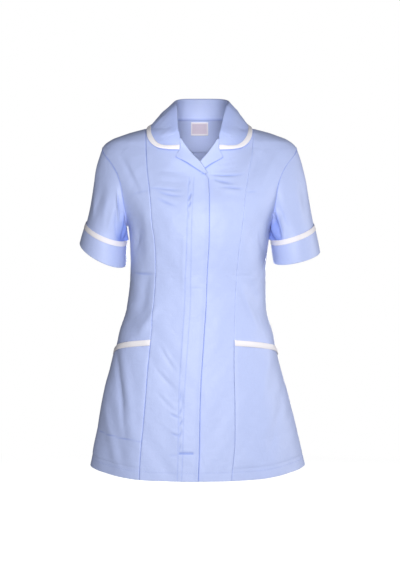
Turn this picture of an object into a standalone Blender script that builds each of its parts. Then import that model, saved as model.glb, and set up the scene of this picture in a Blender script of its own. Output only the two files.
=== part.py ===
"""Work tunic, worn shape with nobody in it: short sleeves, bound collar, concealed front, two pockets.

Metres, +Z up. X points to the wearer's left, the front faces -Y, and the origin lies between the two
neck points of the shoulder seams. Every panel is a stretch of one body form: rings at a height, each
a rounded oval. Whatever lies on a panel is made from the same form, moved out.
"""

import bpy
import numpy as np

COLLECTION_NAME = "work_tunic"

# Cloth and seams
CLOTH = 0.0012
LAYER = 0.0010
COLLAR_WALL = 0.0016
SEAM_GAP = 0.0006
SIDE_GAP = 0.0009
LAY_GAP = 0.0004
SIDE = np.pi / 2

# Armhole
ARMHOLE_TOP = -0.0665
ARMHOLE_BOTTOM = -0.2275
ARMHOLE_FRONT = 0.068
ARMHOLE_BACK = 0.060
ARMHOLE_UPPER_CURVE = 1.5
ARMHOLE_LOWER_CURVE = 1.25
ARMHOLE_STEPS = 12
BACK_COLUMNS = 19

# Front lap, lapels and fly
FLY_WIDTH = 0.043
FLY_SHARE = 0.4
FLY_INSET = 0.002
UNDERLAP_REACH = 0.014
LAP_RAMP = 0.070
LAP_FULL = 0.030
BREAK = -0.1221
FOLD_INSET = 0.0036
LAPEL_OUT = 0.0021
LAPEL_IN = -0.0032
LAPEL_RETURN = 0.012
LAPEL_LEAST_WIDTH = 0.002
FOLD_INSET_RAMP = 0.006

# Collar, cuffs, pockets and facing
COLLAR_CLEAR = 0.0028
COLLAR_LEAN = 0.005
COLLAR_FOLD = 0.0030
COLLAR_BULGE = 0.0018
TRIM_WIDTH = 0.0095
CUFF_OUT = (0.0014, 0.0025)
POCKET_PUFF = 0.0012
FACING_GAP = 0.0010
LABEL_GAP = 0.0008
FACING_IN = -(CLOTH + FACING_GAP)
LABEL_IN = FACING_IN - LAYER - LABEL_GAP
LABEL = {"x": (-0.0184, 0.0186), "z": (-0.0420, -0.0136)}

CLOTH_COLOUR = (0.402, 0.488, 0.791, 1.0)
TRIM_COLOUR = (0.871, 0.855, 0.871, 1.0)
LABEL_COLOUR = (0.701, 0.610, 0.651, 1.0)


def table(columns, rows):
    """The rows as one array for each named column."""
    values = np.array(rows, float)
    return {name: values[:, i] for i, name in enumerate(columns.split())}


# The body form: half width, depth of front and back, how square the oval is (2 is an ellipse), and
# how far the skirt has swung to the wearer's right
BODY = table("z half_width front back square shift", [
    (-0.7600, 0.2298, 0.1520, 0.1440, 2.30, -0.0033),
    (-0.7340, 0.2238, 0.1490, 0.1410, 2.30, -0.0040),
    (-0.6000, 0.1961, 0.1340, 0.1270, 2.30, -0.0074),
    (-0.4920, 0.1692, 0.1220, 0.1150, 2.30, -0.0090),
    (-0.4500, 0.1594, 0.1180, 0.1070, 2.30, -0.0081),
    (-0.4070, 0.1472, 0.1155, 0.0990, 2.25, -0.0068),
    (-0.3670, 0.1428, 0.1150, 0.0950, 2.25, -0.0046),
    (-0.3225, 0.1411, 0.1185, 0.0960, 2.28, -0.0027),
    (-0.2910, 0.1422, 0.1245, 0.0995, 2.30, -0.0014),
    (-0.2490, 0.1452, 0.1325, 0.1055, 2.25, -0.0004),
    (-0.2275, 0.1490, 0.1350, 0.1085, 2.20, 0.0000),
    (-0.2040, 0.1585, 0.1355, 0.1115, 2.12, 0.0000),
    (-0.1780, 0.1745, 0.1315, 0.1135, 2.05, 0.0000),
    (-0.1470, 0.1945, 0.1205, 0.1130, 1.97, 0.0000),
    (-0.1247, 0.2065, 0.1105, 0.1100, 1.93, 0.0000),
    (-0.1035, 0.2110, 0.1000, 0.1050, 1.92, 0.0000),
    (-0.0880, 0.2095, 0.0912, 0.1000, 1.95, 0.0000),
    (-0.0726, 0.2040, 0.0818, 0.0945, 2.02, 0.0000),
    (-0.0665, 0.2000, 0.0780, 0.0925, 2.05, 0.0000),
    (-0.0605, 0.1945, 0.0746, 0.0905, 2.10, 0.0000),
    (-0.0521, 0.1822, 0.0705, 0.0875, 2.20, 0.0000),
    (-0.0392, 0.1492, 0.0650, 0.0815, 2.20, 0.0000),
    (-0.0248, 0.0992, 0.0580, 0.0735, 2.20, 0.0000),
    (-0.0180, 0.0826, 0.0535, 0.0690, 2.20, 0.0000),
    (-0.0120, 0.0715, 0.0500, 0.0655, 2.20, 0.0000),
    (-0.0090, 0.0675, 0.0480, 0.0640, 2.20, 0.0000),
])

# Soft folds that open towards the hem: where they lie around, how wide, how deep, and where they start
FOLDS = table("around width depth start", [
    (-138.0, 13.0, 0.0055, -0.44),
    (-112.0, 10.0, -0.0040, -0.47),
    (-78.0, 9.0, 0.0040, -0.50),
    (-55.0, 8.0, -0.0030, -0.45),
    (-31.0, 9.0, 0.0030, -0.47),
    (34.0, 9.0, 0.0030, -0.46),
    (57.0, 8.0, -0.0030, -0.48),
    (82.0, 9.0, 0.0035, -0.50),
    (108.0, 10.0, -0.0045, -0.45),
    (133.0, 12.0, 0.0055, -0.43),
    (176.0, 15.0, -0.0045, -0.42),
])

# Rows of the panels below the armhole, at the front seams and at the side seams
LOWER_ROWS = table("front side", [
    (-0.7385, -0.7335),
    (-0.7050, -0.7020),
    (-0.6650, -0.6640),
    (-0.6250, -0.6290),
    (-0.5850, -0.5930),
    (-0.5450, -0.5580),
    (-0.5050, -0.5270),
    (-0.4655, -0.4965),
    (-0.4545, -0.4855),
    (-0.4250, -0.4400),
    (-0.3850, -0.3900),
    (-0.3450, -0.3460),
    (-0.3100, -0.3100),
    (-0.2800, -0.2800),
    (-0.2520, -0.2520),
])
POCKET_TRIM_ROW = 7
POCKET_MOUTH_ROW = 8
FLY_LOWEST_ROW = 1

# Rows above the armhole, up the shoulder to the neck
UPPER_ROWS = (-0.0605, -0.0535, -0.0465, -0.0400, -0.0340, -0.0310, -0.0287, -0.0200, -0.0150, -0.0120)
NECK_ROW = -0.0090

# Seams that run down both fronts, from the shoulder to the hem
PRINCESS = table("z right left", [
    (-0.7600, -0.1215, 0.0640),
    (-0.7206, -0.1203, 0.0668),
    (-0.6558, -0.1160, 0.0725),
    (-0.5768, -0.1095, 0.0722),
    (-0.4923, -0.1035, 0.0705),
    (-0.4526, -0.0995, 0.0709),
    (-0.3650, -0.0919, 0.0735),
    (-0.3242, -0.0896, 0.0750),
    (-0.2909, -0.0887, 0.0775),
    (-0.2520, -0.0910, 0.0815),
    (-0.2100, -0.0960, 0.0875),
    (-0.1700, -0.0985, 0.0915),
    (-0.1450, -0.1010, 0.0945),
    (-0.1100, -0.1055, 0.1005),
    (-0.0650, -0.1085, 0.1080),
    (-0.0287, -0.1100, 0.1100),
    (-0.0090, -0.1100, 0.1100),
])

# Inner edges of both fronts: closing edge, roll line of the lapel, then the neckline. The right laps over
FRONT_EDGE = table("z right left", [
    (-0.7600, -0.0035, -0.0310),
    (-0.7367, -0.0030, -0.0310),
    (-0.6823, -0.0010, -0.0290),
    (-0.5734, 0.0010, -0.0270),
    (-0.4524, 0.0081, -0.0200),
    (-0.3712, 0.0131, -0.0150),
    (-0.3219, 0.0147, -0.0130),
    (-0.2357, 0.0189, -0.0090),
    (-0.1685, 0.0189, -0.0100),
    (-0.1221, 0.0168, -0.0140),
    (-0.1060, 0.0100, -0.0100),
    (-0.0927, -0.0002, 0.0002),
    (-0.0703, -0.0202, 0.0202),
    (-0.0444, -0.0385, 0.0385),
    (-0.0380, -0.0445, 0.0445),
    (-0.0290, -0.0540, 0.0540),
    (-0.0200, -0.0610, 0.0610),
    (-0.0120, -0.0665, 0.0665),
    (-0.0090, -0.0675, 0.0675),
])

# How far the lapping front stands out and the front beneath it sinks
LAP = table("z right left", [
    (-0.7600, 0.0026, -0.0006),
    (-0.1700, 0.0026, -0.0006),
    (-0.1300, 0.0040, -0.0021),
    (-0.0950, 0.0040, -0.0020),
    (-0.0688, 0.0006, 0.0000),
    (-0.0444, 0.0004, 0.0000),
    (-0.0300, 0.0000, 0.0000),
    (-0.0090, 0.0000, 0.0000),
])

# Lapels from the gorge seam down: roll line and outer edge, on the wearer's left. The right is its mirror
LAPEL = table("roll_x roll_z edge_x edge_z", [
    (0.0378, -0.0450, 0.0375, -0.0700),
    (0.0330, -0.0525, 0.0425, -0.0775),
    (0.0265, -0.0615, 0.0462, -0.0848),
    (0.0150, -0.0765, 0.0260, -0.0965),
    (0.0060, -0.0865, 0.0130, -0.1040),
    (-0.0002, -0.0930, 0.0030, -0.1095),
    (-0.0100, -0.1060, -0.0050, -0.1165),
    (-0.0140, -0.1160, -0.0090, -0.1195),
])
LAPEL_RIGHT_END = table("roll_x roll_z edge_x edge_z", [
    (0.0060, -0.0865, 0.0130, -0.1045),
    (-0.0002, -0.0930, 0.0020, -0.1115),
    (-0.0100, -0.1060, -0.0075, -0.1175),
    (-0.0160, -0.1160, -0.0118, -0.1195),
])

# Collar from the back centre to the gorge seam, on the wearer's left: neck seam, fold and outer edge
COLLAR = table("seam_x seam_y seam_z fold_x fold_y fold_z edge_x edge_y edge_z", [
    (0.0000, 0.0618, -0.0084, 0.0000, 0.0655, 0.0340, 0.0000, 0.0810, -0.0330),
    (0.0334, 0.0548, -0.0084, 0.0300, 0.0575, 0.0338, 0.0470, 0.0720, -0.0330),
    (0.0578, 0.0317, -0.0084, 0.0490, 0.0340, 0.0315, 0.0835, 0.0440, -0.0305),
    (0.0652, 0.0000, -0.0084, 0.0545, 0.0020, 0.0266, 0.1018, 0.0060, -0.0255),
    (0.0610, -0.0322, -0.0145, 0.0520, -0.0210, 0.0200, 0.1066, -0.0280, -0.0305),
    (0.0553, -0.0495, -0.0250, 0.0463, -0.0450, -0.0115, 0.1050, -0.0530, -0.0440),
    (0.0450, -0.0596, -0.0368, 0.0412, -0.0620, -0.0340, 0.0965, -0.0650, -0.0575),
    (0.0425, -0.0616, -0.0395, 0.0400, -0.0645, -0.0380, 0.0830, -0.0720, -0.0655),
    (0.0408, -0.0628, -0.0418, 0.0394, -0.0665, -0.0412, 0.0620, -0.0762, -0.0688),
    (0.0400, -0.0638, -0.0438, 0.0400, -0.0680, -0.0440, 0.0398, -0.0788, -0.0693),
])
COLLAR_STEPS = 2

# Sleeve rings on the wearer's right and left: centre, half width, rise outwards and drop to the front
SLEEVE_RINGS = {
    "right": table("x y z half_width half_depth rise drop", [
        (0.1947, 0.0030, -0.2410, 0.0414, 0.0575, 0.427, 0.15),
        (0.2020, 0.0050, -0.2885, 0.0474, 0.0600, 0.475, 0.20),
    ]),
    "left": table("x y z half_width half_depth rise drop", [
        (0.1941, 0.0030, -0.2423, 0.0442, 0.0575, 0.341, 0.11),
        (0.2038, 0.0050, -0.2954, 0.0474, 0.0600, 0.238, 0.09),
    ]),
}
SLEEVE_ROWS = np.linspace(0.0, 1.0, 8)
CUFF_ROWS = (0.2, 0.6, 1.0)
SLEEVE_TOP_SWELL = 0.17
SLEEVE_UNDER_SWELL = 0.45

# Neck facing inside the back: how far it reaches to each side of the back centre, in degrees
FACING = table("z reach", [
    (-0.0794, 16.0),
    (-0.0740, 30.0),
    (-0.0620, 44.0),
    (-0.0470, 58.0),
    (-0.0340, 74.0),
    (-0.0248, 88.0),
    (-0.0160, 89.5),
    (-0.0095, 89.5),
])


def smooth(x, xs, ys):
    """Reads a table at x: a cubic through its rows that never overshoots them."""
    x = np.clip(np.asarray(x, float), xs[0], xs[-1])
    step = np.diff(xs)
    slope = np.diff(ys) / step
    same = slope[:-1] * slope[1:] > 0
    total = np.where(same, slope[:-1] + slope[1:], 1.0)
    inner = np.where(same, 2 * slope[:-1] * slope[1:] / total, 0.0)
    tangent = np.concatenate([slope[:1], inner, slope[-1:]])
    i = np.clip(np.searchsorted(xs, x, side="right") - 1, 0, len(step) - 1)
    h = step[i]
    t = (x - xs[i]) / h
    start = ys[i] * (1 + 2 * t) * (1 - t) ** 2 + h * tangent[i] * t * (1 - t) ** 2
    end = ys[i + 1] * t * t * (3 - 2 * t) + h * tangent[i + 1] * t * t * (t - 1)
    return start + end


def ease(t):
    """Zero up to 0, one from 1, and a soft step between."""
    t = np.clip(t, 0.0, 1.0)
    return t * t * (3 - 2 * t)


def unit(vectors):
    return vectors / np.linalg.norm(vectors, axis=-1, keepdims=True)


def ring_sizes(z, to_front):
    half_width = smooth(z, BODY["z"], BODY["half_width"])
    front = smooth(z, BODY["z"], BODY["front"])
    back = smooth(z, BODY["z"], BODY["back"])
    square = smooth(z, BODY["z"], BODY["square"])
    return half_width, np.where(to_front, front, back), square


def ring_shift(z):
    return smooth(z, BODY["z"], BODY["shift"])


def fold_height(theta, z):
    """How far the soft skirt folds push the cloth out."""
    total = np.zeros(np.broadcast(theta, z).shape)
    lowest = LOWER_ROWS["front"][0]
    for around, width, depth, start in zip(*FOLDS.values()):
        apart = np.degrees(theta) - around
        apart = (apart + 180) % 360 - 180
        total = total + depth * np.exp(-(apart / width) ** 2) * ease((start - z) / (start - lowest))
    return total


def form_skin(theta, z):
    """Points of the body form: theta 0 is the centre front, 90 degrees the wearer's left side."""
    sin, cos = np.sin(theta), np.cos(theta)
    half_width, depth, square = ring_sizes(z, cos > 0)
    size = (np.abs(sin) ** square + np.abs(cos) ** square) ** (1 / square)
    x = half_width * sin / size
    y = -depth * cos / size
    swell = 1 + fold_height(theta, z) / np.hypot(x, y)
    return np.stack([x * swell + ring_shift(z), y * swell, z + 0 * theta], -1)


def form_normal(theta, z):
    step = 1e-4
    around = form_skin(theta + step, z) - form_skin(theta - step, z)
    upward = form_skin(theta, z + step) - form_skin(theta, z - step)
    return unit(np.cross(around, upward))


def form(theta, z, height=0.0):
    """Points of the form, moved out along its slope by height."""
    theta, z = np.broadcast_arrays(np.asarray(theta, float), np.asarray(z, float))
    return form_skin(theta, z) + form_normal(theta, z) * np.asarray(height)[..., None]


def theta_of_x(x, z):
    """The angle at which the front of the form stands at x."""
    half_width, _, square = ring_sizes(z, True)
    x = x - ring_shift(z)
    share = np.clip(np.abs(x) / half_width, 0.0, 1.0)
    return np.sign(x) * np.arctan2(share, (1 - share ** square) ** (1 / square))


def on_front(x, z, height=0.0):
    return form(theta_of_x(x, z), z, height)


def moved(grid, distance, closed=False):
    """A grid of points moved out along its own slope. A closed grid's columns go all the way round."""
    wide = np.concatenate([grid[:, -1:], grid, grid[:, :1]], 1) if closed else grid
    across = np.gradient(wide, axis=1)
    if closed:
        across = across[:, 1:-1]
    normal = unit(np.cross(across, np.gradient(grid, axis=0)))
    return grid + normal * np.asarray(distance)[..., None]


def armhole_theta(z, to_front):
    """Where the armhole seam lies at a height, as an angle; the side seam outside the armhole."""
    middle = (ARMHOLE_TOP + ARMHOLE_BOTTOM) / 2
    reach = (ARMHOLE_TOP - ARMHOLE_BOTTOM) / 2
    level = np.clip((z - middle) / reach, -1.0, 1.0)
    curve = np.where(level > 0, ARMHOLE_UPPER_CURVE, ARMHOLE_LOWER_CURVE)
    forward = np.sqrt(1 - level ** 2) ** curve * (ARMHOLE_FRONT if to_front else ARMHOLE_BACK)
    _, depth, square = ring_sizes(z, to_front)
    share = np.clip(forward / depth, 0.0, 1.0)
    theta = np.arctan2((1 - share ** square) ** (1 / square), share)
    return theta if to_front else np.pi - theta


def armhole_rows():
    turn = np.linspace(np.pi, 0.0, ARMHOLE_STEPS + 1)
    return (ARMHOLE_TOP + ARMHOLE_BOTTOM) / 2 + (ARMHOLE_TOP - ARMHOLE_BOTTOM) / 2 * np.cos(turn)


def panel_rows():
    """Heights of all rows at the front seams and at the side seams."""
    upper = np.concatenate([armhole_rows(), UPPER_ROWS])
    front = np.concatenate([LOWER_ROWS["front"], upper])
    side = np.concatenate([LOWER_ROWS["side"], upper])
    return front, side


def lap_height(side, x, z):
    """How far each front stands out or sinks where the right laps over the left."""
    edge = smooth(z, FRONT_EDGE["z"], FRONT_EDGE["right"])
    if side == "right":
        share = ease((x - edge + LAP_RAMP) / (LAP_RAMP - LAP_FULL))
    else:
        share = ease((edge + UNDERLAP_REACH - x) / UNDERLAP_REACH)
    return share * smooth(z, LAP["z"], LAP[side])


def sign_of(side):
    """The wearer's right is at -X."""
    return -1.0 if side == "right" else 1.0


def turned(grid):
    """The grid with its columns reversed, which turns its faces over."""
    return grid[:, ::-1]


def front_centre_grid(side):
    """From the princess seam to the closing edge, roll line and neckline."""
    z, _ = panel_rows()
    toward_middle = -sign_of(side)
    seam = smooth(z, PRINCESS["z"], PRINCESS[side])
    half_width, _, _ = ring_sizes(z, True)
    seam = np.clip(seam, -half_width, half_width) + toward_middle * SEAM_GAP / 2
    inset = FOLD_INSET * ease((z - BREAK) / FOLD_INSET_RAMP + 1)
    edge = smooth(z, FRONT_EDGE["z"], FRONT_EDGE[side]) - toward_middle * inset
    fly = edge - toward_middle * np.minimum(FLY_WIDTH, FLY_SHARE * np.abs(edge - seam))
    body = seam[:, None] + (fly - seam)[:, None] * np.linspace(0, 1, 5)
    inner = np.stack([(fly + edge) / 2, edge - toward_middle * FLY_INSET, edge], 1)
    x = np.concatenate([body, inner], 1)
    z = np.broadcast_to(z[:, None], x.shape)
    theta = theta_of_x(x, z)
    shoulder = SIDE - SIDE_GAP / 2 / ring_sizes(z, True)[1]
    theta = np.clip(theta, -shoulder, shoulder)
    grid = form(theta, z, lap_height(side, x, z))
    return grid if side == "right" else turned(grid)


def front_side_grid(side):
    """From the princess seam to the side seam, armhole and shoulder seam."""
    z_front, z_side = panel_rows()
    half_width, _, _ = ring_sizes(z_front, True)
    seam = np.abs(smooth(z_front, PRINCESS["z"], PRINCESS[side]))
    reaches = half_width > seam + SEAM_GAP
    z_front, z_side, seam = z_front[reaches], z_side[reaches], seam[reaches]
    inner = theta_of_x((seam + SEAM_GAP / 2) * sign_of(side), z_front) * sign_of(side)
    outer = armhole_theta(z_side, True) - SIDE_GAP / 2 / ring_sizes(z_side, True)[1]
    share = np.linspace(0, 1, 6)
    theta = inner[:, None] + (outer - inner)[:, None] * share
    z = z_front[:, None] + (z_side - z_front)[:, None] * share
    grid = form(theta * sign_of(side), z)
    return turned(grid) if side == "right" else grid


def back_grid():
    """The whole back, from side seam to side seam, with both armholes and the neckline."""
    _, z = panel_rows()
    z = np.append(z, NECK_ROW)
    start = armhole_theta(z, False) + SIDE_GAP / 2 / ring_sizes(z, False)[1]
    share = np.linspace(0, 1, BACK_COLUMNS)
    theta = start[:, None] + (2 * np.pi - 2 * start)[:, None] * share
    return form(theta, np.broadcast_to(z[:, None], theta.shape))


def fly_grid():
    """The strip behind the right front's closing edge, from its points moved in."""
    panel = front_centre_grid("right")
    front, _ = panel_rows()
    top = int(np.searchsorted(front, BREAK - SEAM_GAP))
    strip = moved(panel, -(CLOTH + LAY_GAP))
    return strip[FLY_LOWEST_ROW:top, 4:7]


def pocket_grids(side):
    """The pocket, from the side panel's points moved out, and the trim over its mouth."""
    panel = front_side_grid(side)
    rows = np.linspace(0, 1, POCKET_MOUTH_ROW + 1)[:, None]
    columns = np.linspace(0, 1, panel.shape[1])[None, :]
    puff = POCKET_PUFF * rows * np.sin(np.pi * columns)
    pocket = moved(panel, LAY_GAP + LAYER)[:POCKET_MOUTH_ROW + 1]
    pocket = moved(pocket, puff)
    trim = moved(pocket, LAY_GAP + LAYER)[POCKET_TRIM_ROW:]
    return pocket, trim


def armhole_seam(turn):
    """Points and slopes of the armhole seam; turn 0 is the top, 90 degrees the front."""
    z = (ARMHOLE_TOP + ARMHOLE_BOTTOM) / 2 + (ARMHOLE_TOP - ARMHOLE_BOTTOM) / 2 * np.cos(turn)
    theta = np.where(np.sin(turn) >= 0, armhole_theta(z, True), armhole_theta(z, False))
    return form(theta, z), form_normal(theta, z)


def sleeve_ring(rings, row, turn):
    x, y, z, half_width, half_depth, rise, drop = (column[row] for column in rings.values())
    out = half_width * np.cos(turn)
    forward = half_depth * np.sin(turn)
    return np.stack([x + out, y - forward, z + rise * out - drop * forward], -1)


def sleeve_grid(side):
    """A tube from the armhole seam to the cuff's top, then straight to the hem."""
    turn = np.linspace(0, 2 * np.pi, 2 * ARMHOLE_STEPS, endpoint=False)
    seam, slope = armhole_seam(turn)
    cuff = sleeve_ring(SLEEVE_RINGS[side], 0, turn)
    hem = sleeve_ring(SLEEVE_RINGS[side], 1, turn)
    length = np.linalg.norm(cuff - seam, axis=-1, keepdims=True)
    under = ((1 - np.cos(turn)) / 2)[:, None]
    swell = SLEEVE_TOP_SWELL + (SLEEVE_UNDER_SWELL - SLEEVE_TOP_SWELL) * under
    leave = unit(unit(cuff - seam) + swell * slope)
    arrive = unit(hem - cuff)
    seam = seam + leave * SEAM_GAP
    t = SLEEVE_ROWS[:, None, None]
    upper = (
        seam * (1 + 2 * t) * (1 - t) ** 2
        + cuff * t * t * (3 - 2 * t)
        + leave * length * t * (1 - t) ** 2
        + arrive * length * t * t * (t - 1)
    )
    lower = cuff + (hem - cuff) * np.array(CUFF_ROWS)[:, None, None]
    grid = np.concatenate([upper, lower])[::-1]
    grid[..., 0] *= sign_of(side)
    return grid if side == "right" else turned(grid)


def cuff_grids(side):
    """The turned-back cuff around the sleeve's end, and the trim around its top."""
    sleeve = sleeve_grid(side)
    rows = len(CUFF_ROWS) + 1
    stand_out = np.linspace(*CUFF_OUT, rows)[:, None]
    cuff = moved(sleeve, 0.0, True)[:rows]
    away = moved(sleeve, 1.0, True)[:rows] - cuff
    cuff = cuff + away * stand_out[..., None]
    trim = cuff[-2:] + away[-2:] * (LAY_GAP + LAYER)
    return cuff, trim


def form_gap(points):
    """Distance of points from the form, and the direction straight out of it."""
    def ratio(p):
        half_width, depth, square = ring_sizes(p[..., 2], p[..., 1] < 0)
        across = np.abs(p[..., 0]) / half_width
        along = np.abs(p[..., 1]) / depth
        return (across ** square + along ** square) ** (1 / square)

    step = 1e-4
    steps = np.eye(3) * step
    slope = np.stack([(ratio(points + s) - ratio(points - s)) / (2 * step) for s in steps], -1)
    steepness = np.linalg.norm(slope, axis=-1, keepdims=True)
    return (ratio(points)[..., None] - 1) / steepness, slope / steepness


def clear_of_form(points, gap):
    """The points, pushed out where they lie closer to the form than the gap."""
    under_neck = points[..., 2:] < NECK_ROW
    for _ in range(4):
        distance, outward = form_gap(points)
        points = points + outward * np.maximum(gap - distance, 0.0) * under_neck
    return points


def collar_grid():
    """Across the collar: up the stand, over the fold and down the fall to its outer edge."""
    rows = len(COLLAR["seam_x"])
    knots = np.arange(1 - rows, rows)
    u = np.linspace(1 - rows, rows - 1, 2 * COLLAR_STEPS * (rows - 1) + 1)

    def curve(name):
        axes = []
        for axis in "xyz":
            column = COLLAR[f"{name}_{axis}"]
            mirrored = -column[:0:-1] if axis == "x" else column[:0:-1]
            axes.append(smooth(u, knots, np.concatenate([mirrored, column])))
        return np.stack(axes, -1)

    seam, fold, edge = curve("seam"), curve("fold"), curve("edge")
    lean = COLLAR_LEAN * ease((fold[:, 2] + 0.03) / 0.06)
    fold[:, 0] += lean
    stand = fold - seam
    fall = edge - fold
    up = unit(unit(stand) - unit(fall))
    out = unit(fall - np.sum(fall * up, -1, keepdims=True) * up)
    radius = np.minimum(COLLAR_FOLD, 0.45 * np.linalg.norm(stand, axis=-1, keepdims=True))
    centre = fold - radius * up
    inside, outside = centre - radius * out, centre + radius * out
    columns = [seam + (inside - seam) * share for share in (0.0, 0.5, 1.0)]
    for turn in np.radians((50.0, 90.0, 130.0)):
        columns.append(centre + radius * (up * np.sin(turn) - out * np.cos(turn)))
    reach = np.linalg.norm(edge - outside, axis=-1, keepdims=True)
    trim_start = 1 - TRIM_WIDTH / reach
    bulge = COLLAR_BULGE * ease((reach - 0.03) / 0.03)
    for share in (0.0, 0.22, 0.46, 0.72, 1.0):
        t = share * trim_start
        point = outside + (edge - outside) * t + out * bulge * 4 * t * (1 - t)
        columns.append(clear_of_form(point, COLLAR_CLEAR))
    columns.append(clear_of_form(edge, COLLAR_CLEAR))
    return np.stack(columns, 0)


def lapel_grid(side):
    """From the return inside the front, over the roll line, to the lapel's outer edge."""
    rows = LAPEL
    if side == "right":
        top = len(LAPEL["roll_x"]) - len(LAPEL_RIGHT_END["roll_x"])
        rows = {name: np.append(LAPEL[name][:top], LAPEL_RIGHT_END[name]) for name in LAPEL}
    roll = np.stack([rows["roll_x"], rows["roll_z"]], -1)
    edge = np.stack([rows["edge_x"], rows["edge_z"]], -1)
    width = np.linalg.norm(edge - roll, axis=-1)
    along = unit(edge - roll)
    middle = (LAPEL_OUT + LAPEL_IN) / 2
    radius = (LAPEL_OUT - LAPEL_IN) / 2
    inside = np.minimum(LAPEL_RETURN, np.maximum(width, 2 * radius))
    stations = [(inside, LAPEL_IN), (radius + 0 * inside, LAPEL_IN)]
    for turn in np.radians((45.0, 90.0, 135.0)):
        stations.append((radius - radius * np.sin(turn) + 0 * inside, middle - radius * np.cos(turn)))
    for share in (0.0, 0.33, 0.66, 1.0):
        stations.append((radius + (np.maximum(width, radius + LAPEL_LEAST_WIDTH) - radius) * share, LAPEL_OUT))
    columns = []
    for distance, height in stations:
        x = (roll[:, 0] + along[:, 0] * distance) * sign_of(side)
        z = roll[:, 1] + along[:, 1] * distance
        columns.append(on_front(x, z, lap_height(side, x, z) + height))
    grid = np.stack(columns, 1)[::-1]
    return turned(grid) if side == "right" else grid


def facing_grid():
    """The neck facing inside the back."""
    reach = np.radians(FACING["reach"])[:, None]
    theta = np.pi + reach * np.linspace(-1, 1, 13)
    z = np.broadcast_to(FACING["z"][:, None], theta.shape)
    return form(theta, z, FACING_IN)


def label_grid():
    x = np.linspace(*LABEL["x"], 3)[::-1]
    z = np.linspace(*LABEL["z"], 4)
    x, z = np.meshgrid(x, z)
    half_width, _, square = ring_sizes(z, False)
    share = np.abs(x) / half_width
    theta = np.pi - np.sign(x) * np.arctan2(share, (1 - share ** square) ** (1 / square))
    return form(theta, z, LABEL_IN)


def make_material(name, colour, roughness):
    material = bpy.data.materials.new(name)
    material.use_nodes = True
    shader = material.node_tree.nodes["Principled BSDF"]
    shader.inputs["Base Color"].default_value = colour
    shader.inputs["Roughness"].default_value = roughness
    shader.inputs["Metallic"].default_value = 0.0
    return material


def add_cloth(name, grid, wall, look, closed=False):
    """A wall of cloth: the grid is its outer face, and the thickness goes to the other side."""
    rows, columns = grid.shape[:2]
    number = np.arange(rows * columns).reshape(rows, columns)
    if closed:
        number = np.concatenate([number, number[:, :1]], 1)
    faces = np.stack([number[:-1, :-1], number[:-1, 1:], number[1:, 1:], number[1:, :-1]], -1)
    mesh = bpy.data.meshes.new(name)
    mesh.from_pydata(grid.reshape(-1, 3).tolist(), [], faces.reshape(-1, 4).tolist())
    mesh.shade_smooth()
    mesh.set_sharp_from_angle(angle=np.radians(50))
    mesh.materials.append(make_material(name, *look))
    piece = bpy.data.objects.new(name, mesh)
    bpy.data.collections[COLLECTION_NAME].objects.link(piece)
    thicken = piece.modifiers.new("wall", "SOLIDIFY")
    thicken.thickness = wall
    thicken.offset = -1.0
    return piece


COTTON = (CLOTH_COLOUR, 0.75)
BINDING = (TRIM_COLOUR, 0.70)
SATIN_LABEL = (LABEL_COLOUR, 0.60)


def add_fronts():
    for side in ("right", "left"):
        add_cloth(f"front_centre_{side}", front_centre_grid(side), CLOTH, COTTON)
        add_cloth(f"front_side_{side}", front_side_grid(side), CLOTH, COTTON)
        add_cloth(f"lapel_facing_{side}", lapel_grid(side), CLOTH, COTTON)
    add_cloth("fly_strip", fly_grid(), LAYER, COTTON)


def add_pockets():
    for side in ("right", "left"):
        pocket, trim = pocket_grids(side)
        add_cloth(f"pocket_{side}", pocket, LAYER, COTTON)
        add_cloth(f"pocket_trim_{side}", trim, LAYER, BINDING)


def add_sleeves():
    for side in ("right", "left"):
        cuff, trim = cuff_grids(side)
        add_cloth(f"sleeve_{side}", sleeve_grid(side), CLOTH, COTTON, True)
        add_cloth(f"cuff_{side}", cuff, LAYER, COTTON, True)
        add_cloth(f"cuff_trim_{side}", trim, LAYER, BINDING, True)


def add_collar():
    grid = collar_grid()
    add_cloth("collar", grid, COLLAR_WALL, COTTON)
    trim = moved(grid, LAY_GAP + LAYER)[-2:]
    add_cloth("collar_trim", trim, LAYER, BINDING)


def add_back():
    add_cloth("back", back_grid(), CLOTH, COTTON)
    add_cloth("back_neck_facing", facing_grid(), LAYER, COTTON)
    add_cloth("label", label_grid(), LAYER, SATIN_LABEL)


def main():
    for thing in list(bpy.data.objects):
        bpy.data.objects.remove(thing, do_unlink=True)
    collection = bpy.data.collections.new(COLLECTION_NAME)
    bpy.context.scene.collection.children.link(collection)
    add_back()
    add_fronts()
    add_pockets()
    add_sleeves()
    add_collar()


main()
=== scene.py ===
"""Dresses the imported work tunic: cloth with its creases, seams and stitches, on a plain pale stage."""
from functools import partial

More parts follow.
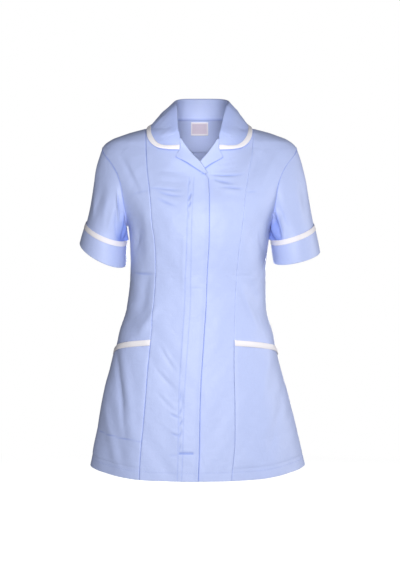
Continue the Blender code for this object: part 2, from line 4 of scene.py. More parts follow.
import bpy
import numpy as np
from bpy.props import FloatProperty, FloatVectorProperty, PointerProperty, StringProperty
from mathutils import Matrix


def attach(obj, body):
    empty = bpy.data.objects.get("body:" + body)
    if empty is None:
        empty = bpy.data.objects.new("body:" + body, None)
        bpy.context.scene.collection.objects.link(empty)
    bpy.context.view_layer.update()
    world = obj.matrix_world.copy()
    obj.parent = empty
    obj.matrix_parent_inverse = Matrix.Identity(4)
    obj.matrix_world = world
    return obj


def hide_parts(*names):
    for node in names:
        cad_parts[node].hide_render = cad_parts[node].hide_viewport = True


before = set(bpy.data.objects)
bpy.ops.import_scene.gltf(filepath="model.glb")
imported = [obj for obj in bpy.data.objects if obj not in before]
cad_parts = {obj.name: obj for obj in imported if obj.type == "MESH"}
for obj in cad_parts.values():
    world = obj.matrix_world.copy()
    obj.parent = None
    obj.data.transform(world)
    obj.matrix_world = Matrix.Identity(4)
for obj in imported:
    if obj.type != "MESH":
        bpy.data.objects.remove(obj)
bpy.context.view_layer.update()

bl_info = {
    "name": "Work tunic",
    "version": (1, 0, 0),
    "blender": (4, 5, 0),
    "location": "3D View > Sidebar > Tunic",
    "description": "Makes the cloth, seams, bindings and stitches of a short-sleeved work tunic",
    "category": "Object",
}

# Sizes that the tunic's solids have too, in metres
WALL = 0.0005
SIDE = np.pi / 2
SIDES = ("right", "left")
ARMHOLE_TOP = -0.0665
ARMHOLE_BOTTOM = -0.2275
ARMHOLE_MIDDLE = (ARMHOLE_TOP + ARMHOLE_BOTTOM) / 2
ARMHOLE_REACH = (ARMHOLE_TOP - ARMHOLE_BOTTOM) / 2
ARMHOLE_FRONT = 0.068
ARMHOLE_BACK = 0.060
ARMHOLE_UPPER_CURVE = 1.5
ARMHOLE_LOWER_CURVE = 1.25
HEM_FRONT = -0.7385
HEM_RISE = 0.005
HEM_RISE_FROM = -0.60
NECK_TOP = -0.0090
UNDERLAP_REACH = 0.014
LAP_RAMP = 0.070
LAP_FULL = 0.030
BREAK = -0.1221
FOLD_INSET = 0.0036
FOLD_INSET_RAMP = 0.006
LAPEL_OUT = 0.0021
LAPEL_IN = -0.0032
COLLAR_CLEAR = 0.0028
COLLAR_LEAN = 0.005
COLLAR_FOLD = 0.0030
COLLAR_BULGE = 0.0018
SLEEVE_TOP_SWELL = 0.17
SLEEVE_UNDER_SWELL = 0.45
FACING_IN = -0.0022
LABEL_IN = -0.0040
LABEL = {"x": (-0.0184, 0.0186), "z": (-0.0420, -0.0136)}


def table(columns, text):
    """One array for each named column. Lengths are written in mm and kept in metres; * marks other numbers."""
    rows = np.array([line.split() for line in text.splitlines() if line.strip() and "#" not in line], float)
    return {name.strip("*"): rows[:, i] / (1 if "*" in name else 1000) for i, name in enumerate(columns.split())}


# The body form: half width, depth of front and back, how square the oval is, and how far it has swung
BODY = table("z half_width front back square* shift", """
    -760 229.8 152 144 2.3 -3.3
    -734 223.8 149 141 2.3 -4
    -600 196.1 134 127 2.3 -7.4
    -492 169.2 122 115 2.3 -9
    -450 159.4 118 107 2.3 -8.1
    -407 147.2 115.5 99 2.25 -6.8
    -367 142.8 115 95 2.25 -4.6
    -322.5 141.1 118.5 96 2.28 -2.7
    -291 142.2 124.5 99.5 2.3 -1.4
    -249 145.2 132.5 105.5 2.25 -0.4
    -227.5 149 135 108.5 2.2 0
    -204 158.5 135.5 111.5 2.12 0
    -178 174.5 131.5 113.5 2.05 0
    -147 194.5 120.5 113 1.97 0
    -124.7 206.5 110.5 110 1.93 0
    -103.5 211 100 105 1.92 0
    -88 209.5 91.2 100 1.95 0
    -72.6 204 81.8 94.5 2.02 0
    -66.5 200 78 92.5 2.05 0
    -60.5 194.5 74.6 90.5 2.1 0
    -52.1 182.2 70.5 87.5 2.2 0
    -39.2 149.2 65 81.5 2.2 0
    -24.8 99.2 58 73.5 2.2 0
    -18 82.6 53.5 69 2.2 0
    -12 71.5 50 65.5 2.2 0
    -9 67.5 48 64 2.2 0
""")

# Soft folds that open towards the hem: where they lie around, how wide, how deep, and where they start
FOLDS = table("around* width* depth start", """
    -138 13 5.5 -440
    -112 10 -4 -470
    -78 9 4 -500
    -55 8 -3 -450
    -31 9 3 -470
    34 9 3 -460
    57 8 -3 -480
    82 9 3.5 -500
    108 10 -4.5 -450
    133 12 5.5 -430
    176 15 -4.5 -420
""")

# Seams that run down both fronts, from the shoulder to the hem
PRINCESS = table("z right left", """
    -760 -121.5 64
    -720.6 -120.3 66.8
    -655.8 -116 72.5
    -576.8 -109.5 72.2
    -492.3 -103.5 70.5
    -452.6 -99.5 70.9
    -365 -91.9 73.5
    -324.2 -89.6 75
    -290.9 -88.7 77.5
    -252 -91 81.5
    -210 -96 87.5
    -170 -98.5 91.5
    -145 -101 94.5
    -110 -105.5 100.5
    -65 -108.5 108
    -28.7 -110 110
    -9 -110 110
""")

# Inner edges of both fronts: closing edge, roll line of the lapel, then the neckline. The right laps over
FRONT_EDGE = table("z right left", """
    -760 -3.5 -31
    -736.7 -3 -31
    -682.3 -1 -29
    -573.4 1 -27
    -452.4 8.1 -20
    -371.2 13.1 -15
    -321.9 14.7 -13
    -235.7 18.9 -9
    -168.5 18.9 -10
    -122.1 16.8 -14
    -106 10 -10
    -92.7 -0.2 0.2
    -70.3 -20.2 20.2
    -44.4 -38.5 38.5
    -38 -44.5 44.5
    -29 -54 54
    -20 -61 61
    -12 -66.5 66.5
    -9 -67.5 67.5
""")

# How far the lapping front stands out and the front beneath it sinks
LAP = table("z right left", """
    -760 2.6 -0.6
    -170 2.6 -0.6
    -130 4 -2.1
    -95 4 -2
    -68.8 0.6 0
    -44.4 0.4 0
    -30 0 0
    -9 0 0
""")

# Lapels from the gorge seam down: roll line and outer edge, on the wearer's left. The right is its mirror
LAPEL = table("roll_x roll_z edge_x edge_z", """
    37.8 -45 37.5 -70
    33 -52.5 42.5 -77.5
    26.5 -61.5 46.2 -84.8
    15 -76.5 26 -96.5
    6 -86.5 13 -104
    -0.2 -93 3 -109.5
    -10 -106 -5 -116.5
    -14 -116 -9 -119.5
""")
LAPEL_RIGHT_END = table("roll_x roll_z edge_x edge_z", """
    6 -86.5 13 -104.5
    -0.2 -93 2 -111.5
    -10 -106 -7.5 -117.5
    -16 -116 -11.8 -119.5
""")

# Collar from the back centre to the gorge seam, on the wearer's left: neck seam, fold and outer edge
COLLAR = table("seam_x seam_y seam_z fold_x fold_y fold_z edge_x edge_y edge_z", """
    0 61.8 -8.4 0 65.5 34 0 81 -33
    33.4 54.8 -8.4 30 57.5 33.8 47 72 -33
    57.8 31.7 -8.4 49 34 31.5 83.5 44 -30.5
    65.2 0 -8.4 54.5 2 26.6 101.8 6 -25.5
    61 -32.2 -14.5 52 -21 20 106.6 -28 -30.5
    55.3 -49.5 -25 46.3 -45 -11.5 105 -53 -44
    45 -59.6 -36.8 41.2 -62 -34 96.5 -65 -57.5
    42.5 -61.6 -39.5 40 -64.5 -38 83 -72 -65.5
    40.8 -62.8 -41.8 39.4 -66.5 -41.2 62 -76.2 -68.8
    40 -63.8 -43.8 40 -68 -44 39.8 -78.8 -69.3
""")

# Sleeve rings on the wearer's right and left: centre, half width, rise outwards and drop to the front
SLEEVE_RINGS = {
    "right": table("x y z half_width half_depth rise* drop*", """
    194.7 3 -241 41.4 57.5 0.427 0.15
    202 5 -288.5 47.4 60 0.475 0.2
    """),
    "left": table("x y z half_width half_depth rise* drop*", """
    194.1 3 -242.3 44.2 57.5 0.341 0.11
    203.8 5 -295.4 47.4 60 0.238 0.09
    """),
}

# Neck facing inside the back: how far it reaches to each side of the back centre, in degrees
FACING = table("z reach*", """
    -79.4 16
    -74 30
    -62 44
    -47 58
    -34 74
    -24.8 88
    -16 89.5
    -9.5 89.5
""")

# Pockets: height of the mouth at the front seam and at the side seam, and of the stitched bottom
POCKET = {"front": -0.4545, "side": -0.4920, "bottom": -0.660}
POCKET_OVER_HEM = 0.004
# The binding of the mouth, from its outer edge over the fold to its inner edge: how far down, and how far out
POCKET_TRIM = (
    (0.0114, 0.0002), (0.0110, 0.0007), (0.0060, 0.0009), (0.0012, 0.0009), (0.0002, 0.0006),
    (0.0000, 0.0000), (0.0002, -0.0007), (0.0012, -0.0010), (0.0090, -0.0010),
)
# The strip behind the closing edge: its lower end, how far in it starts, how wide it is and how far behind it lies
FLY_STRIP = {"low": -0.705, "inset": 0.0022, "width": 0.0400, "behind": 0.0024}
UNDER_BREAK = 0.004

# Creases of the fronts, each a soft ridge or trough: middle, length, slope in degrees, width, depth and bend
FRONT_CREASES = table("x z length angle* width depth bend*", """
    # Pressed folds across the chest and the waist
    -117 -153.5 60 14 2.4 -0.4 -6
    -115 -158 62 12 6 0.6 -6
    -72 -144 75 -2 1.8 0.4 0
    -70 -147.5 85 -4 1.8 -1.1 0
    -56 -153 60 -7 1.9 0.5 3
    -60 -158.5 65 -11 2 -1.3 4
    -62 -166.5 55 -17 2.2 0.6 3
    -66 -174 50 -22 2.6 -1.1 2
    -70 -185 50 -20 4 0.5 1
    -60 -113 60 -4 4 -0.8 0
    -56 -124 70 -7 3.6 0.6 0
    -58 -133 60 -6 3 -0.7 0
    -115 -321.5 50 2 2 -1.4 0
    -115 -316.5 55 1 3.4 0.7 0
    -60 -322.5 70 1 2.4 0.2 0
    88 -319.5 45 -1 2.2 0.4 0
    86 -324 50 -2 3 -0.6 0
    105 -150.8 22 0 1.4 0.7 0
    105 -153.5 24 0 1.6 -0.8 0
    -8 -346 34 -2 1.5 -0.5 0
    # Wrinkles that spread from the break over the right of the picture
    54 -120 80 -1 1.8 -1.8 1.5
    54 -116.5 78 0 2.6 1 1.5
    50 -125.5 60 -4 3 0.5 0
    56 -106 60 4 2.4 -0.3 3
    60 -101.5 56 7 3 0.2 3
    56 -95.5 50 8 2.4 -0.2 3.5
    64 -90.5 52 11 3 0.2 3
    62 -85 48 12 2.4 -0.2 3
    70 -80.5 50 14 3 0.2 3
    48 -133 50 -16 2.6 -1.4 3
    52 -138.5 60 -14 3 0.6 3
    66 -145 55 -6 1.8 -1.4 0
    64 -150 60 -6 3 0.5 0
    72 -161 60 -10 5 -0.7 0
    # Drag lines between the seam and the closing, down the left of the picture
    -66 -492 78 -57 3.4 -1 1
    -60 -488 74 -57 3.6 0.6 1
    -70 -534 80 -46 3.4 -1 2
    -65 -528 66 -45 3.6 0.6 2
    -68 -581 74 -44 3.4 -0.9 2
    -64 -574 58 -43 3.4 0.5 2
    -50 -606 26 -24 1.8 -1.3 0
    -50 -601 26 -24 2.2 0.5 0
    -49 -644 24 -20 1.8 -1.2 0
    -49 -639.5 24 -20 2.2 0.5 0
    -53 -686 24 0 1.8 -0.6 0
    -64 -630 60 -38 4 0.3 0
    # Puckers of the fly
    -20.5 -136 16 70 1.8 -1 0
    -16 -157 18 84 1.8 0.8 0
    -19 -162.5 22 66 2 -2 0
    -16 -173 16 100 2 0.9 0
    -19.5 -177 16 62 2 -1.8 0
    -23 -198 22 84 2 -0.7 0
    -39 -566 30 84 1.8 -1 0
    -34.5 -572 50 88 1.8 -0.9 0
    -39 -597 18 72 1.6 -1.2 0
    -36 -608 16 108 1.6 0.7 0
    -38 -620 18 60 1.6 -1.4 0
    -35 -630 16 106 1.6 0.7 0
    -39 -642 18 64 1.6 -1.2 0
    -37 -658 20 100 1.8 0.5 0
    -40 -670 22 78 1.8 -0.9 0
    # Broad folds and facets
    -113 -356 100 78 11 -4.2 0
    -129 -406 120 57 12 -3 0
    -104 -416 100 57 8 3.4 0
    98 -384 150 -67 6 2.6 0
    117 -376 150 -68 12 -3.4 0
    115 -99 90 62 8 -3 0
    96 -100 80 66 8 1.2 0
    138 -114 90 66 7 1.8 0
    -142 -114 100 120 7.5 -2.2 0
    -129 -125 90 116 6 1.4 0
    112 -245 130 84 11 -2.6 0
    86 -260 150 86 7 1.6 0
    -124 -250 110 96 10 -2.8 0
    -107 -230 120 94 8 1.6 0
    -129 -256 60 80 5 -2.6 0
    126 -256 60 100 5 -2.6 0
    52 -235 110 75 11 1.3 0
    -70 -250 120 98 12 -1.1 0
    35 -440 150 84 12 1.2 0
    38 -620 150 82 13 -1.2 0
    95 -520 90 -74 5 -1.1 0
    75 -660 80 -70 6 -1.2 0
    6 -700 50 -76 2.6 -0.3 0
    11.5 -698 45 -76 3.4 0.3 0
    -33 -300 160 89 4 0.7 0
    -33 -460 140 87 4 0.7 0
    -162 -565 240 96 6 -3.2 0
    -146 -560 240 97 9 2.8 0
    -185 -645 180 101 9 1.8 0
    -162 -680 100 99 12 -2.6 0
    135 -530 230 80 11 2.4 0
    160 -620 200 77 10 -2.2 0
    108 -610 200 84 12 -1.4 0
""")

# Creases of the back, in the same columns
BACK_CREASES = table("x z length angle* width depth bend*", """
    60 -150 130 4 3 1 0
    -70 -152 100 -3 3 0.9 0
    30 -323 160 2 3.5 1.2 0
    -85 -325 70 -4 3 1 0
    30 -355 110 8 6 -1.8 1
    -40 -340 90 -10 6 1.5 1
    105 -275 90 55 7 -2.5 0
    -108 -280 80 -58 7 -2.5 0
    115 -220 100 62 8.5 2.8 0
    -118 -215 90 -60 8.5 2.8 0
    95 -135 90 70 9 -2.2 0
    -98 -130 100 -72 9 -2.2 0
    0 -460 190 88 11 2 0
    65 -530 210 82 12 -2.2 0
    -70 -545 200 99 13 2.2 0
    125 -460 100 66 8 1.8 0
    -128 -470 110 -64 8 -1.8 0
""")

# Creases of the sleeves: around in degrees (90 is the front, 180 the underarm), share of the way down,
# length, slope against the sleeve's length, width and depth
SLEEVE_CREASES = {
    "right": table("around* down* length angle* width depth", """
    104 0.24 50 52 3.4 -4.2
    114 0.5 60 20 4.5 3
    130 0.42 55 8 5 -7.5
    149 0.45 34 12 4.5 -6
    142 0.66 50 10 3.4 2
    166 0.86 60 6 4.5 -7.2
    160 0.9 36 -20 3.6 2
    96 0.62 60 -4 5 -1.2
    72 0.5 90 3 8 -1.8
    52 0.56 80 -4 7 1.4
    38 0.7 60 8 6 -1.6
    20 0.3 60 10 8 -1.2
    205 0.5 70 -20 5.5 -3.4
    225 0.55 80 -14 7 2.6
    262 0.5 80 8 9 -1.8
    300 0.55 80 -8 9 1.6
    """),
    "left": table("around* down* length angle* width depth", """
    119 0.46 95 -4 4.2 -6
    108 0.5 80 -3 5 2.2
    130 0.6 60 -8 3.2 3.6
    142 0.48 55 -8 5 -9
    166 0.82 66 -34 4.8 -8
    150 0.36 50 -10 4.6 -2.6
    108 0.72 40 -8 4 -1.2
    96 0.6 60 6 6 0.8
    58 0.6 90 4 8 -1.6
    40 0.56 80 -4 8 1.4
    22 0.42 70 -6 8 -1.2
    203 0.52 70 -18 5.5 -3.4
    228 0.58 80 -12 7 2.4
    265 0.45 80 6 9 -1.7
    305 0.6 70 -10 9 1.6
    """),
}

# Slow waves that keep the pressed cloth from lying perfectly even: length across and up, phase and height
WAVES = table("across up phase* height", """
    110 190 0.6 0.45
    -75 120 2.1 0.3
    52 83 4.4 0.22
    -41 -60 1.2 0.14
    29 -37 3.3 0.09
""")

# The wave texture draws one line for this length at a scale of one
LINE_PITCH = 0.314
WHITE = (1.0, 1.0, 1.0, 1.0)

# Steps in from a seam, in metres. Those below zero are tucked under the neighbour
OVER_STEPS = np.array([0.0, 0.0005, 0.0010, 0.0017, 0.0028, 0.0045, 0.0070, 0.0100])
UNDER_STEPS = np.concatenate([[-0.0040, -0.0022, -0.0009], OVER_STEPS])
FAR = 1.0

# A folded edge: how far in from the edge, and how deep, from the outer side to the turned-in layer
FOLD_RADIUS = 0.0008
FOLD_TURN = np.radians(np.linspace(0, 180, 7))
FOLD_IN = FOLD_RADIUS * (1 - np.sin(FOLD_TURN))
FOLD_DEEP = -FOLD_RADIUS * (1 - np.cos(FOLD_TURN))


class TunicSizes(bpy.types.PropertyGroup):
    """Sizes of the cloth's making that a user would change."""
    wall: FloatProperty(name="Cloth", description="Thickness of one layer", default=WALL, unit="LENGTH")
    hem_depth: FloatProperty(name="Hem", description="Depth of the turned hem", default=0.0180, unit="LENGTH")
    stitch: FloatProperty(name="Stitch", description="Length of one stitch", default=0.0026, unit="LENGTH")
    thread: FloatProperty(name="Thread", description="Thickness of the thread", default=0.00045, unit="LENGTH")
    twill: FloatProperty(name="Twill", description="Width of one twill line", default=0.0011, unit="LENGTH")
    tape: FloatProperty(name="Tape", description="Width of one rib of the binding", default=0.0012, unit="LENGTH")
    crease: FloatProperty(name="Creases", description="Strength of the creases", default=1.0, min=0.0, max=2.0)


def hex_property(name, text, default):
    return StringProperty(name=name, description=text, default=default)


class TunicColours(bpy.types.PropertyGroup):
    """Colours as sRGB hex values."""
    cloth: hex_property("Cloth", "Polycotton twill", "B3C0EA")
    # Painted shade: the deep blue that the cloth is mixed toward at seams, stitch rows, sharp creases, under edges,
    # round the underarm and over the collar
    cloth_painted_shade: hex_property("Seam shade", "The cloth where a seam or stitch pulls it in", "6B86DC")
    binding: hex_property("Binding", "White cotton tape", "F1EEF4")
    thread: hex_property("Thread", "Polyester sewing thread", "A9B9EA")
    label_edge: hex_property("Label border", "Woven label's border", "EFEBF2")
    label_panel: hex_property("Label panel", "Woven label's blank middle", "D2C6D8")
    floor: hex_property("Floor", "Painted studio floor", "F7F7F9")


class TunicStage(bpy.types.PropertyGroup):
    """Camera and lights."""
    distance: FloatProperty(name="Distance", description="From camera to tunic", default=3.0, unit="LENGTH")
    elevation: FloatProperty(
        name="Elevation", description="Camera above level", default=np.radians(7.0), subtype="ANGLE")
    lens: FloatProperty(name="Lens", description="Focal length in mm", default=87.91)
    target: FloatVectorProperty(
        name="Target", description="What it looks at", default=(0.00105, 0.0, -0.37), subtype="XYZ")
    key: FloatProperty(name="Key", description="Strength of the light at the side", default=40.0, subtype="POWER")
    front: FloatProperty(name="Front", description="Strength of the light in front", default=16.4, subtype="POWER")
    neck: FloatProperty(name="Neck", description="Strength of the spot on the neck", default=285.0, subtype="POWER")
    back: FloatProperty(name="Back", description="Strength of the light behind", default=80.0, subtype="POWER")
    top: FloatProperty(name="Top", description="Strength of the light from above", default=4.0, subtype="POWER")
    sky: FloatProperty(name="Sky", description="Strength of the even light", default=0.19, min=0.0)


def smooth(x, xs, ys):
    """Reads a table at x: a cubic through its rows that never overshoots them."""
    x = np.clip(np.asarray(x, float), xs[0], xs[-1])
    step = np.diff(xs)
    slope = np.diff(ys) / step
    same = slope[:-1] * slope[1:] > 0
    total = np.where(same, slope[:-1] + slope[1:], 1.0)
    inner = np.where(same, 2 * slope[:-1] * slope[1:] / total, 0.0)
    tangent = np.concatenate([slope[:1], inner, slope[-1:]])
    i = np.clip(np.searchsorted(xs, x, side="right") - 1, 0, len(step) - 1)
    h = step[i]
    t = (x - xs[i]) / h
    start = ys[i] * (1 + 2 * t) * (1 - t) ** 2 + h * tangent[i] * t * (1 - t) ** 2
    end = ys[i + 1] * t * t * (3 - 2 * t) + h * tangent[i + 1] * t * t * (t - 1)
    return start + end


def read(rows, name, z):
    """A column of a table at the heights z."""
    return smooth(z, rows["z"], rows[name])


def bell(distance, width):
    """One in the middle, dying away to both sides."""
    return np.exp(-(distance / width) ** 2)


def ease(t):
    """Zero up to 0, one from 1, and a soft step between."""
    t = np.clip(t, 0.0, 1.0)
    return t * t * (3 - 2 * t)


def unit(vectors):
    return vectors / np.maximum(np.linalg.norm(vectors, axis=-1, keepdims=True), 1e-12)


def sign_of(side):
    """The wearer's right is at -X."""
    return -1.0 if side == "right" else 1.0


def ring_sizes(z, to_front):
    """Half width, depth and squareness of the form's rings."""
    depth = np.where(to_front, read(BODY, "front", z), read(BODY, "back", z))
    return read(BODY, "half_width", z), depth, read(BODY, "square", z)


def fold_height(theta, z):
    """Skirt folds: the sum of bells around the body, each growing from its start down to the hem."""
    total = np.zeros(np.broadcast(theta, z).shape)
    for around, width, depth, start in zip(*FOLDS.values()):
        apart = apart_around(np.degrees(theta), around)
        total = total + depth * bell(apart, width) * ease((start - z) / (start - HEM_FRONT))
    return total


def form_skin(theta, z):
    """A ring at each height: x is half width times sine, y is depth times cosine, over the oval's norm."""
    sin, cos = np.sin(theta), np.cos(theta)
    half_width, depth, square = ring_sizes(z, cos > 0)
    size = (np.abs(sin) ** square + np.abs(cos) ** square) ** (1 / square)
    x = half_width * sin / size
    y = -depth * cos / size
    swell = 1 + fold_height(theta, z) / np.hypot(x, y)
    return np.stack([x * swell + read(BODY, "shift", z), y * swell, z + 0 * theta], -1)


def form_normal(theta, z):
    step = 1e-4
    around = form_skin(theta + step, z) - form_skin(theta - step, z)
    upward = form_skin(theta, z + step) - form_skin(theta, z - step)
    return unit(np.cross(around, upward))


def form(theta, z, height=0.0):
    """Points of the form, moved out along its slope by height."""
    theta, z = np.broadcast_arrays(np.asarray(theta, float), np.asarray(z, float))
    return form_skin(theta, z) + form_normal(theta, z) * np.asarray(height)[..., None]


def ring_speed(theta, z):
    """Metres of cloth for each radian around the form."""
    step = 1e-3
    return np.linalg.norm(form_skin(theta + step, z) - form_skin(theta - step, z), axis=-1) / (2 * step)


def theta_of_x(x, z):
    """The angle at which the front of the form stands at x."""
    half_width, _, square = ring_sizes(z, True)
    x = x - read(BODY, "shift", z)
    share = np.clip(np.abs(x) / half_width, 0.0, 1.0)
    return np.sign(x) * np.arctan2(share, (1 - share ** square) ** (1 / square))


def apart_around(turn, around):
    """Degrees between angles in degrees, the short way round."""
    return (turn - around + 180) % 360 - 180


def crease_line(along, across, length, width):
    """A bell across a line, dying away towards the line's ends."""
    return bell(across, width) * np.clip(1 - (along / (length / 2)) ** 2, 0.0, 1.0) ** 1.5


def moved(grid, distance, closed=False):
    """A grid of points moved out along its own slope. A closed grid's columns go all the way round."""
    wide = np.concatenate([grid[:, -1:], grid, grid[:, :1]], 1) if closed else grid
    across = np.gradient(wide, axis=1)
    if closed:
        across = across[:, 1:-1]
    normal = unit(np.cross(across, np.gradient(grid, axis=0)))
    return grid + normal * np.asarray(distance)[..., None]


def crease_height(x, z, creases):
    """The sum of soft ridges: a bell across each line, dying away towards its ends, bent by a parabola."""
    total = np.zeros(np.broadcast(x, z).shape)
    for mid_x, mid_z, length, angle, width, depth, bend in zip(*creases.values()):
        cos, sin = np.cos(np.radians(angle)), np.sin(np.radians(angle))
        along = (x - mid_x) * cos + (z - mid_z) * sin
        across = (z - mid_z) * cos - (x - mid_x) * sin - bend * along ** 2
        total = total + depth * crease_line(along, across, length, width)
    return total * bpy.context.scene.tunic_sizes.crease


def crease_shade(x, z, creases):
    """Painted shade in the sharpest troughs: the same bells as the creases, for narrow ones alone."""
    sharp = (creases["depth"] < -0.0003) & (creases["width"] < 0.0028)
    kept = {name: column[sharp] for name, column in creases.items()}
    return np.clip(-crease_height(x, z, kept) / 0.0035, 0.0, 0.45)


def wave_height(x, z):
    """The sum of slow sine waves of unlike lengths and directions."""
    total = np.zeros(np.broadcast(x, z).shape)
    for across, up, phase, height in zip(*WAVES.values()):
        total = total + height * np.sin(2 * np.pi * (x / across + z / up) + phase)
    return total * bpy.context.scene.tunic_sizes.crease


def lap_height(side, x, z):
    """How far each front stands out or sinks where the right laps over the left."""
    edge = read(FRONT_EDGE, "right", z)
    if side == "right":
        share = ease((x - edge + LAP_RAMP) / (LAP_RAMP - LAP_FULL))
    else:
        share = ease((edge + UNDERLAP_REACH - x) / UNDERLAP_REACH)
    return share * read(LAP, side, z)


def calm(z):
    """Creases fade out right at the shoulder and neck, where the cloth is held."""
    return ease((-0.030 - z) / 0.030)


def front_height(x, z):
    """Creases and slow waves of the fronts."""
    return (crease_height(x, z, FRONT_CREASES) + wave_height(x, z)) * calm(z)


def armhole_theta(z, to_front):
    """Where the armhole seam lies at a height, as an angle; the side seam outside the armhole."""
    level = np.clip((z - ARMHOLE_MIDDLE) / ARMHOLE_REACH, -1.0, 1.0)
    curve = np.where(level > 0, ARMHOLE_UPPER_CURVE, ARMHOLE_LOWER_CURVE)
    forward = np.sqrt(1 - level ** 2) ** curve * (ARMHOLE_FRONT if to_front else ARMHOLE_BACK)
    _, depth, square = ring_sizes(z, to_front)
    share = np.clip(forward / depth, 0.0, 1.0)
    theta = np.arctan2((1 - share ** square) ** (1 / square), share)
    return theta if to_front else np.pi - theta


def in_armhole(z):
    return ease((z - ARMHOLE_BOTTOM) / 0.004) * ease((ARMHOLE_TOP - z) / 0.003)


def fine_rows(top):
    """Heights from the hem's fold up: even below the armhole, closer at its ends, even above it."""
    turn = np.linspace(np.pi, 0.0, 110)
    armhole = ARMHOLE_MIDDLE + ARMHOLE_REACH * np.cos(turn)
    lower = np.linspace(HEM_FRONT + 0.0012, ARMHOLE_BOTTOM, 195)[:-1]
    upper = np.linspace(ARMHOLE_TOP, top, max(4, int((top - ARMHOLE_TOP) / 0.0014)))[1:]
    return np.concatenate([lower, armhole, upper])


def hem_rows(top):
    """Rows with the hem turned up inside: height above the hem and depth below the surface for each."""
    depth = bpy.context.scene.tunic_sizes.hem_depth
    turned_in = np.linspace(depth, FOLD_RADIUS * 2, 6)
    z = np.concatenate([HEM_FRONT + turned_in, HEM_FRONT + FOLD_IN[::-1], fine_rows(top)])
    deep = np.concatenate([0 * turned_in - 2 * FOLD_RADIUS, FOLD_DEEP[::-1], 0 * fine_rows(top)])
    return z, deep


def hem_rise(z):
    """The hem hangs a little higher at the side seams and round the back."""
    return HEM_RISE * ease((HEM_RISE_FROM - z) / (HEM_RISE_FROM - HEM_FRONT))


def across_panel(start, end, z, start_steps, count, end_steps):
    """Angles across a panel, set off from each edge by steps in metres, with even steps between them.

    Returns the angles and the distance to each edge, which is only kept close to it.
    """
    facing = np.sign(end - start)[:, None]
    first = start[:, None] + facing * start_steps / ring_speed(start, z)[:, None]
    last = end[:, None] - facing * end_steps[::-1] / ring_speed(end, z)[:, None]
    share = np.linspace(0, 1, count + 2)[1:-1]
    middle = first[:, -1:] + (last[:, :1] - first[:, -1:]) * share
    far = np.full(count, FAR)
    from_start = np.concatenate([start_steps, far, 0 * end_steps + FAR])
    from_end = np.concatenate([0 * start_steps + FAR, far, end_steps[::-1]])
    return np.concatenate([first, middle, last], 1), from_start, from_end


def seam_pucker(z, distance):
    """Small uneven ripples that a seam pulls into the cloth beside it."""
    ripple = np.sin(2 * np.pi * z / 0.0125 + 1.9 * np.sin(2 * np.pi * z / 0.061))
    return 0.00022 * ripple * np.exp(-np.abs(distance) / 0.006)


def over_edge(distance):
    """The upper layer of a seam rolls down to it, and stands up a little over the turnings."""
    roll = -0.0005 * (1 - np.clip(distance / 0.0014, 0, 1)) ** 2
    turnings = 0.00035 * ease((0.0095 - distance) / 0.004) * ease(distance / 0.002)
    return roll + turnings


def under_edge(distance, side="right"):
    """The lower layer dips and runs on beneath the upper one. The left front's seam is pressed flatter."""
    return -(0.0012 if side == "right" else 0.0007) * (1 - ease(distance / 0.0022))


# How strong the painted shade along each seam is
SEAM_PAINTED_SHADE = {"right": 0.68, "left": 0.20, "armhole": 0.55, "back": 0.60}


def seam_shade(distance, seam, z=0.0):
    """Painted shade: a dark line along a seam, strongest at its edge, and uneven along it."""
    uneven = 0.82 + 0.18 * np.sin(2 * np.pi * z / 0.047 + 2.0 * np.sin(2 * np.pi * z / 0.173))
    return SEAM_PAINTED_SHADE[seam] * uneven * bell(np.maximum(distance, 0.0), 0.0009)


def stitch_groove(distance):
    """A row of stitches pulls a shallow groove."""
    return -0.00022 * bell(distance, 0.0009)


# Painted shade along a row of stitches, in its groove
def groove_shade(distance):
    return 0.22 * bell(distance, 0.0010)


# Rows of stitches on the right front, as distances in from its closing edge
EDGE_STITCH = 0.0035
FLY_STITCHES = table("z outer inner", """
    -740 42 33
    -683 42.5 33
    -574 43 32
    -414 43 31
    -300 43 33
    -240 44 35
    -140 40 30
    -125 37 27
""")
HEM_STITCH = 0.0180


def fly_lines(z):
    """How far the fly's two rows of stitches stand in from the closing edge."""
    outer = read(FLY_STITCHES, "outer", z)
    inner = read(FLY_STITCHES, "inner", z)
    return outer, inner


def line_distance(x, z, line):
    """Distance of points from a line through corners, seen from the front: the least over its stretches."""
    run = np.diff(line, axis=0)
    apart = np.stack([x, z], -1)[..., None, :] - line[:-1]
    share = np.clip((apart * run).sum(-1) / (run ** 2).sum(-1), 0.0, 1.0)
    return np.linalg.norm(apart - share[..., None] * run, axis=-1).min(-1)


def edge_shade(side, x, z):
    """Painted shadow on the front close under the edges of its lapel and collar."""
    rows = lapel_rows(side)
    lapel = np.stack([rows["edge_x"], rows["edge_z"]], -1)
    collar = np.stack([COLLAR["edge_x"], COLLAR["edge_z"] - 0.0010], -1)[4:]
    x = x * sign_of(side)
    under_lapel = bell(line_distance(x, z, lapel), 0.0019)
    under_collar = bell(line_distance(x, z, collar), 0.0022)
    return np.maximum(0.75 * under_lapel, 0.55 * under_collar)


# The fly's lowest row of stitches runs across it
FLY_BAR = {"x": (-0.0435, -0.0105), "z": -0.6812}


def front_marks(side, x, z):
    """Grooves and painted shade of the stitch rows on a front: hem, closing edge and fly."""
    groove = stitch_groove(z - (HEM_FRONT + HEM_STITCH))
    shade = 0.6 * groove_shade(z - (HEM_FRONT + HEM_STITCH))
    if side == "right":
        below = ease((BREAK - z) / 0.004)
        inward = read(FRONT_EDGE, "right", z) - x
        for line in (EDGE_STITCH + 0 * z, *fly_lines(z)):
            groove = groove + stitch_groove(inward - line) * below
            shade = np.maximum(shade, groove_shade(inward - line) * below)
        inside = ease((x - FLY_BAR["x"][0]) / 0.003) * ease((FLY_BAR["x"][1] - x) / 0.003)
        bar = bell(z - FLY_BAR["z"], 0.0021) * inside
        groove = groove - 0.0013 * bar
        # Painted shade along the fly's bar
        shade = np.maximum(shade, 0.75 * bar)
    return groove, shade


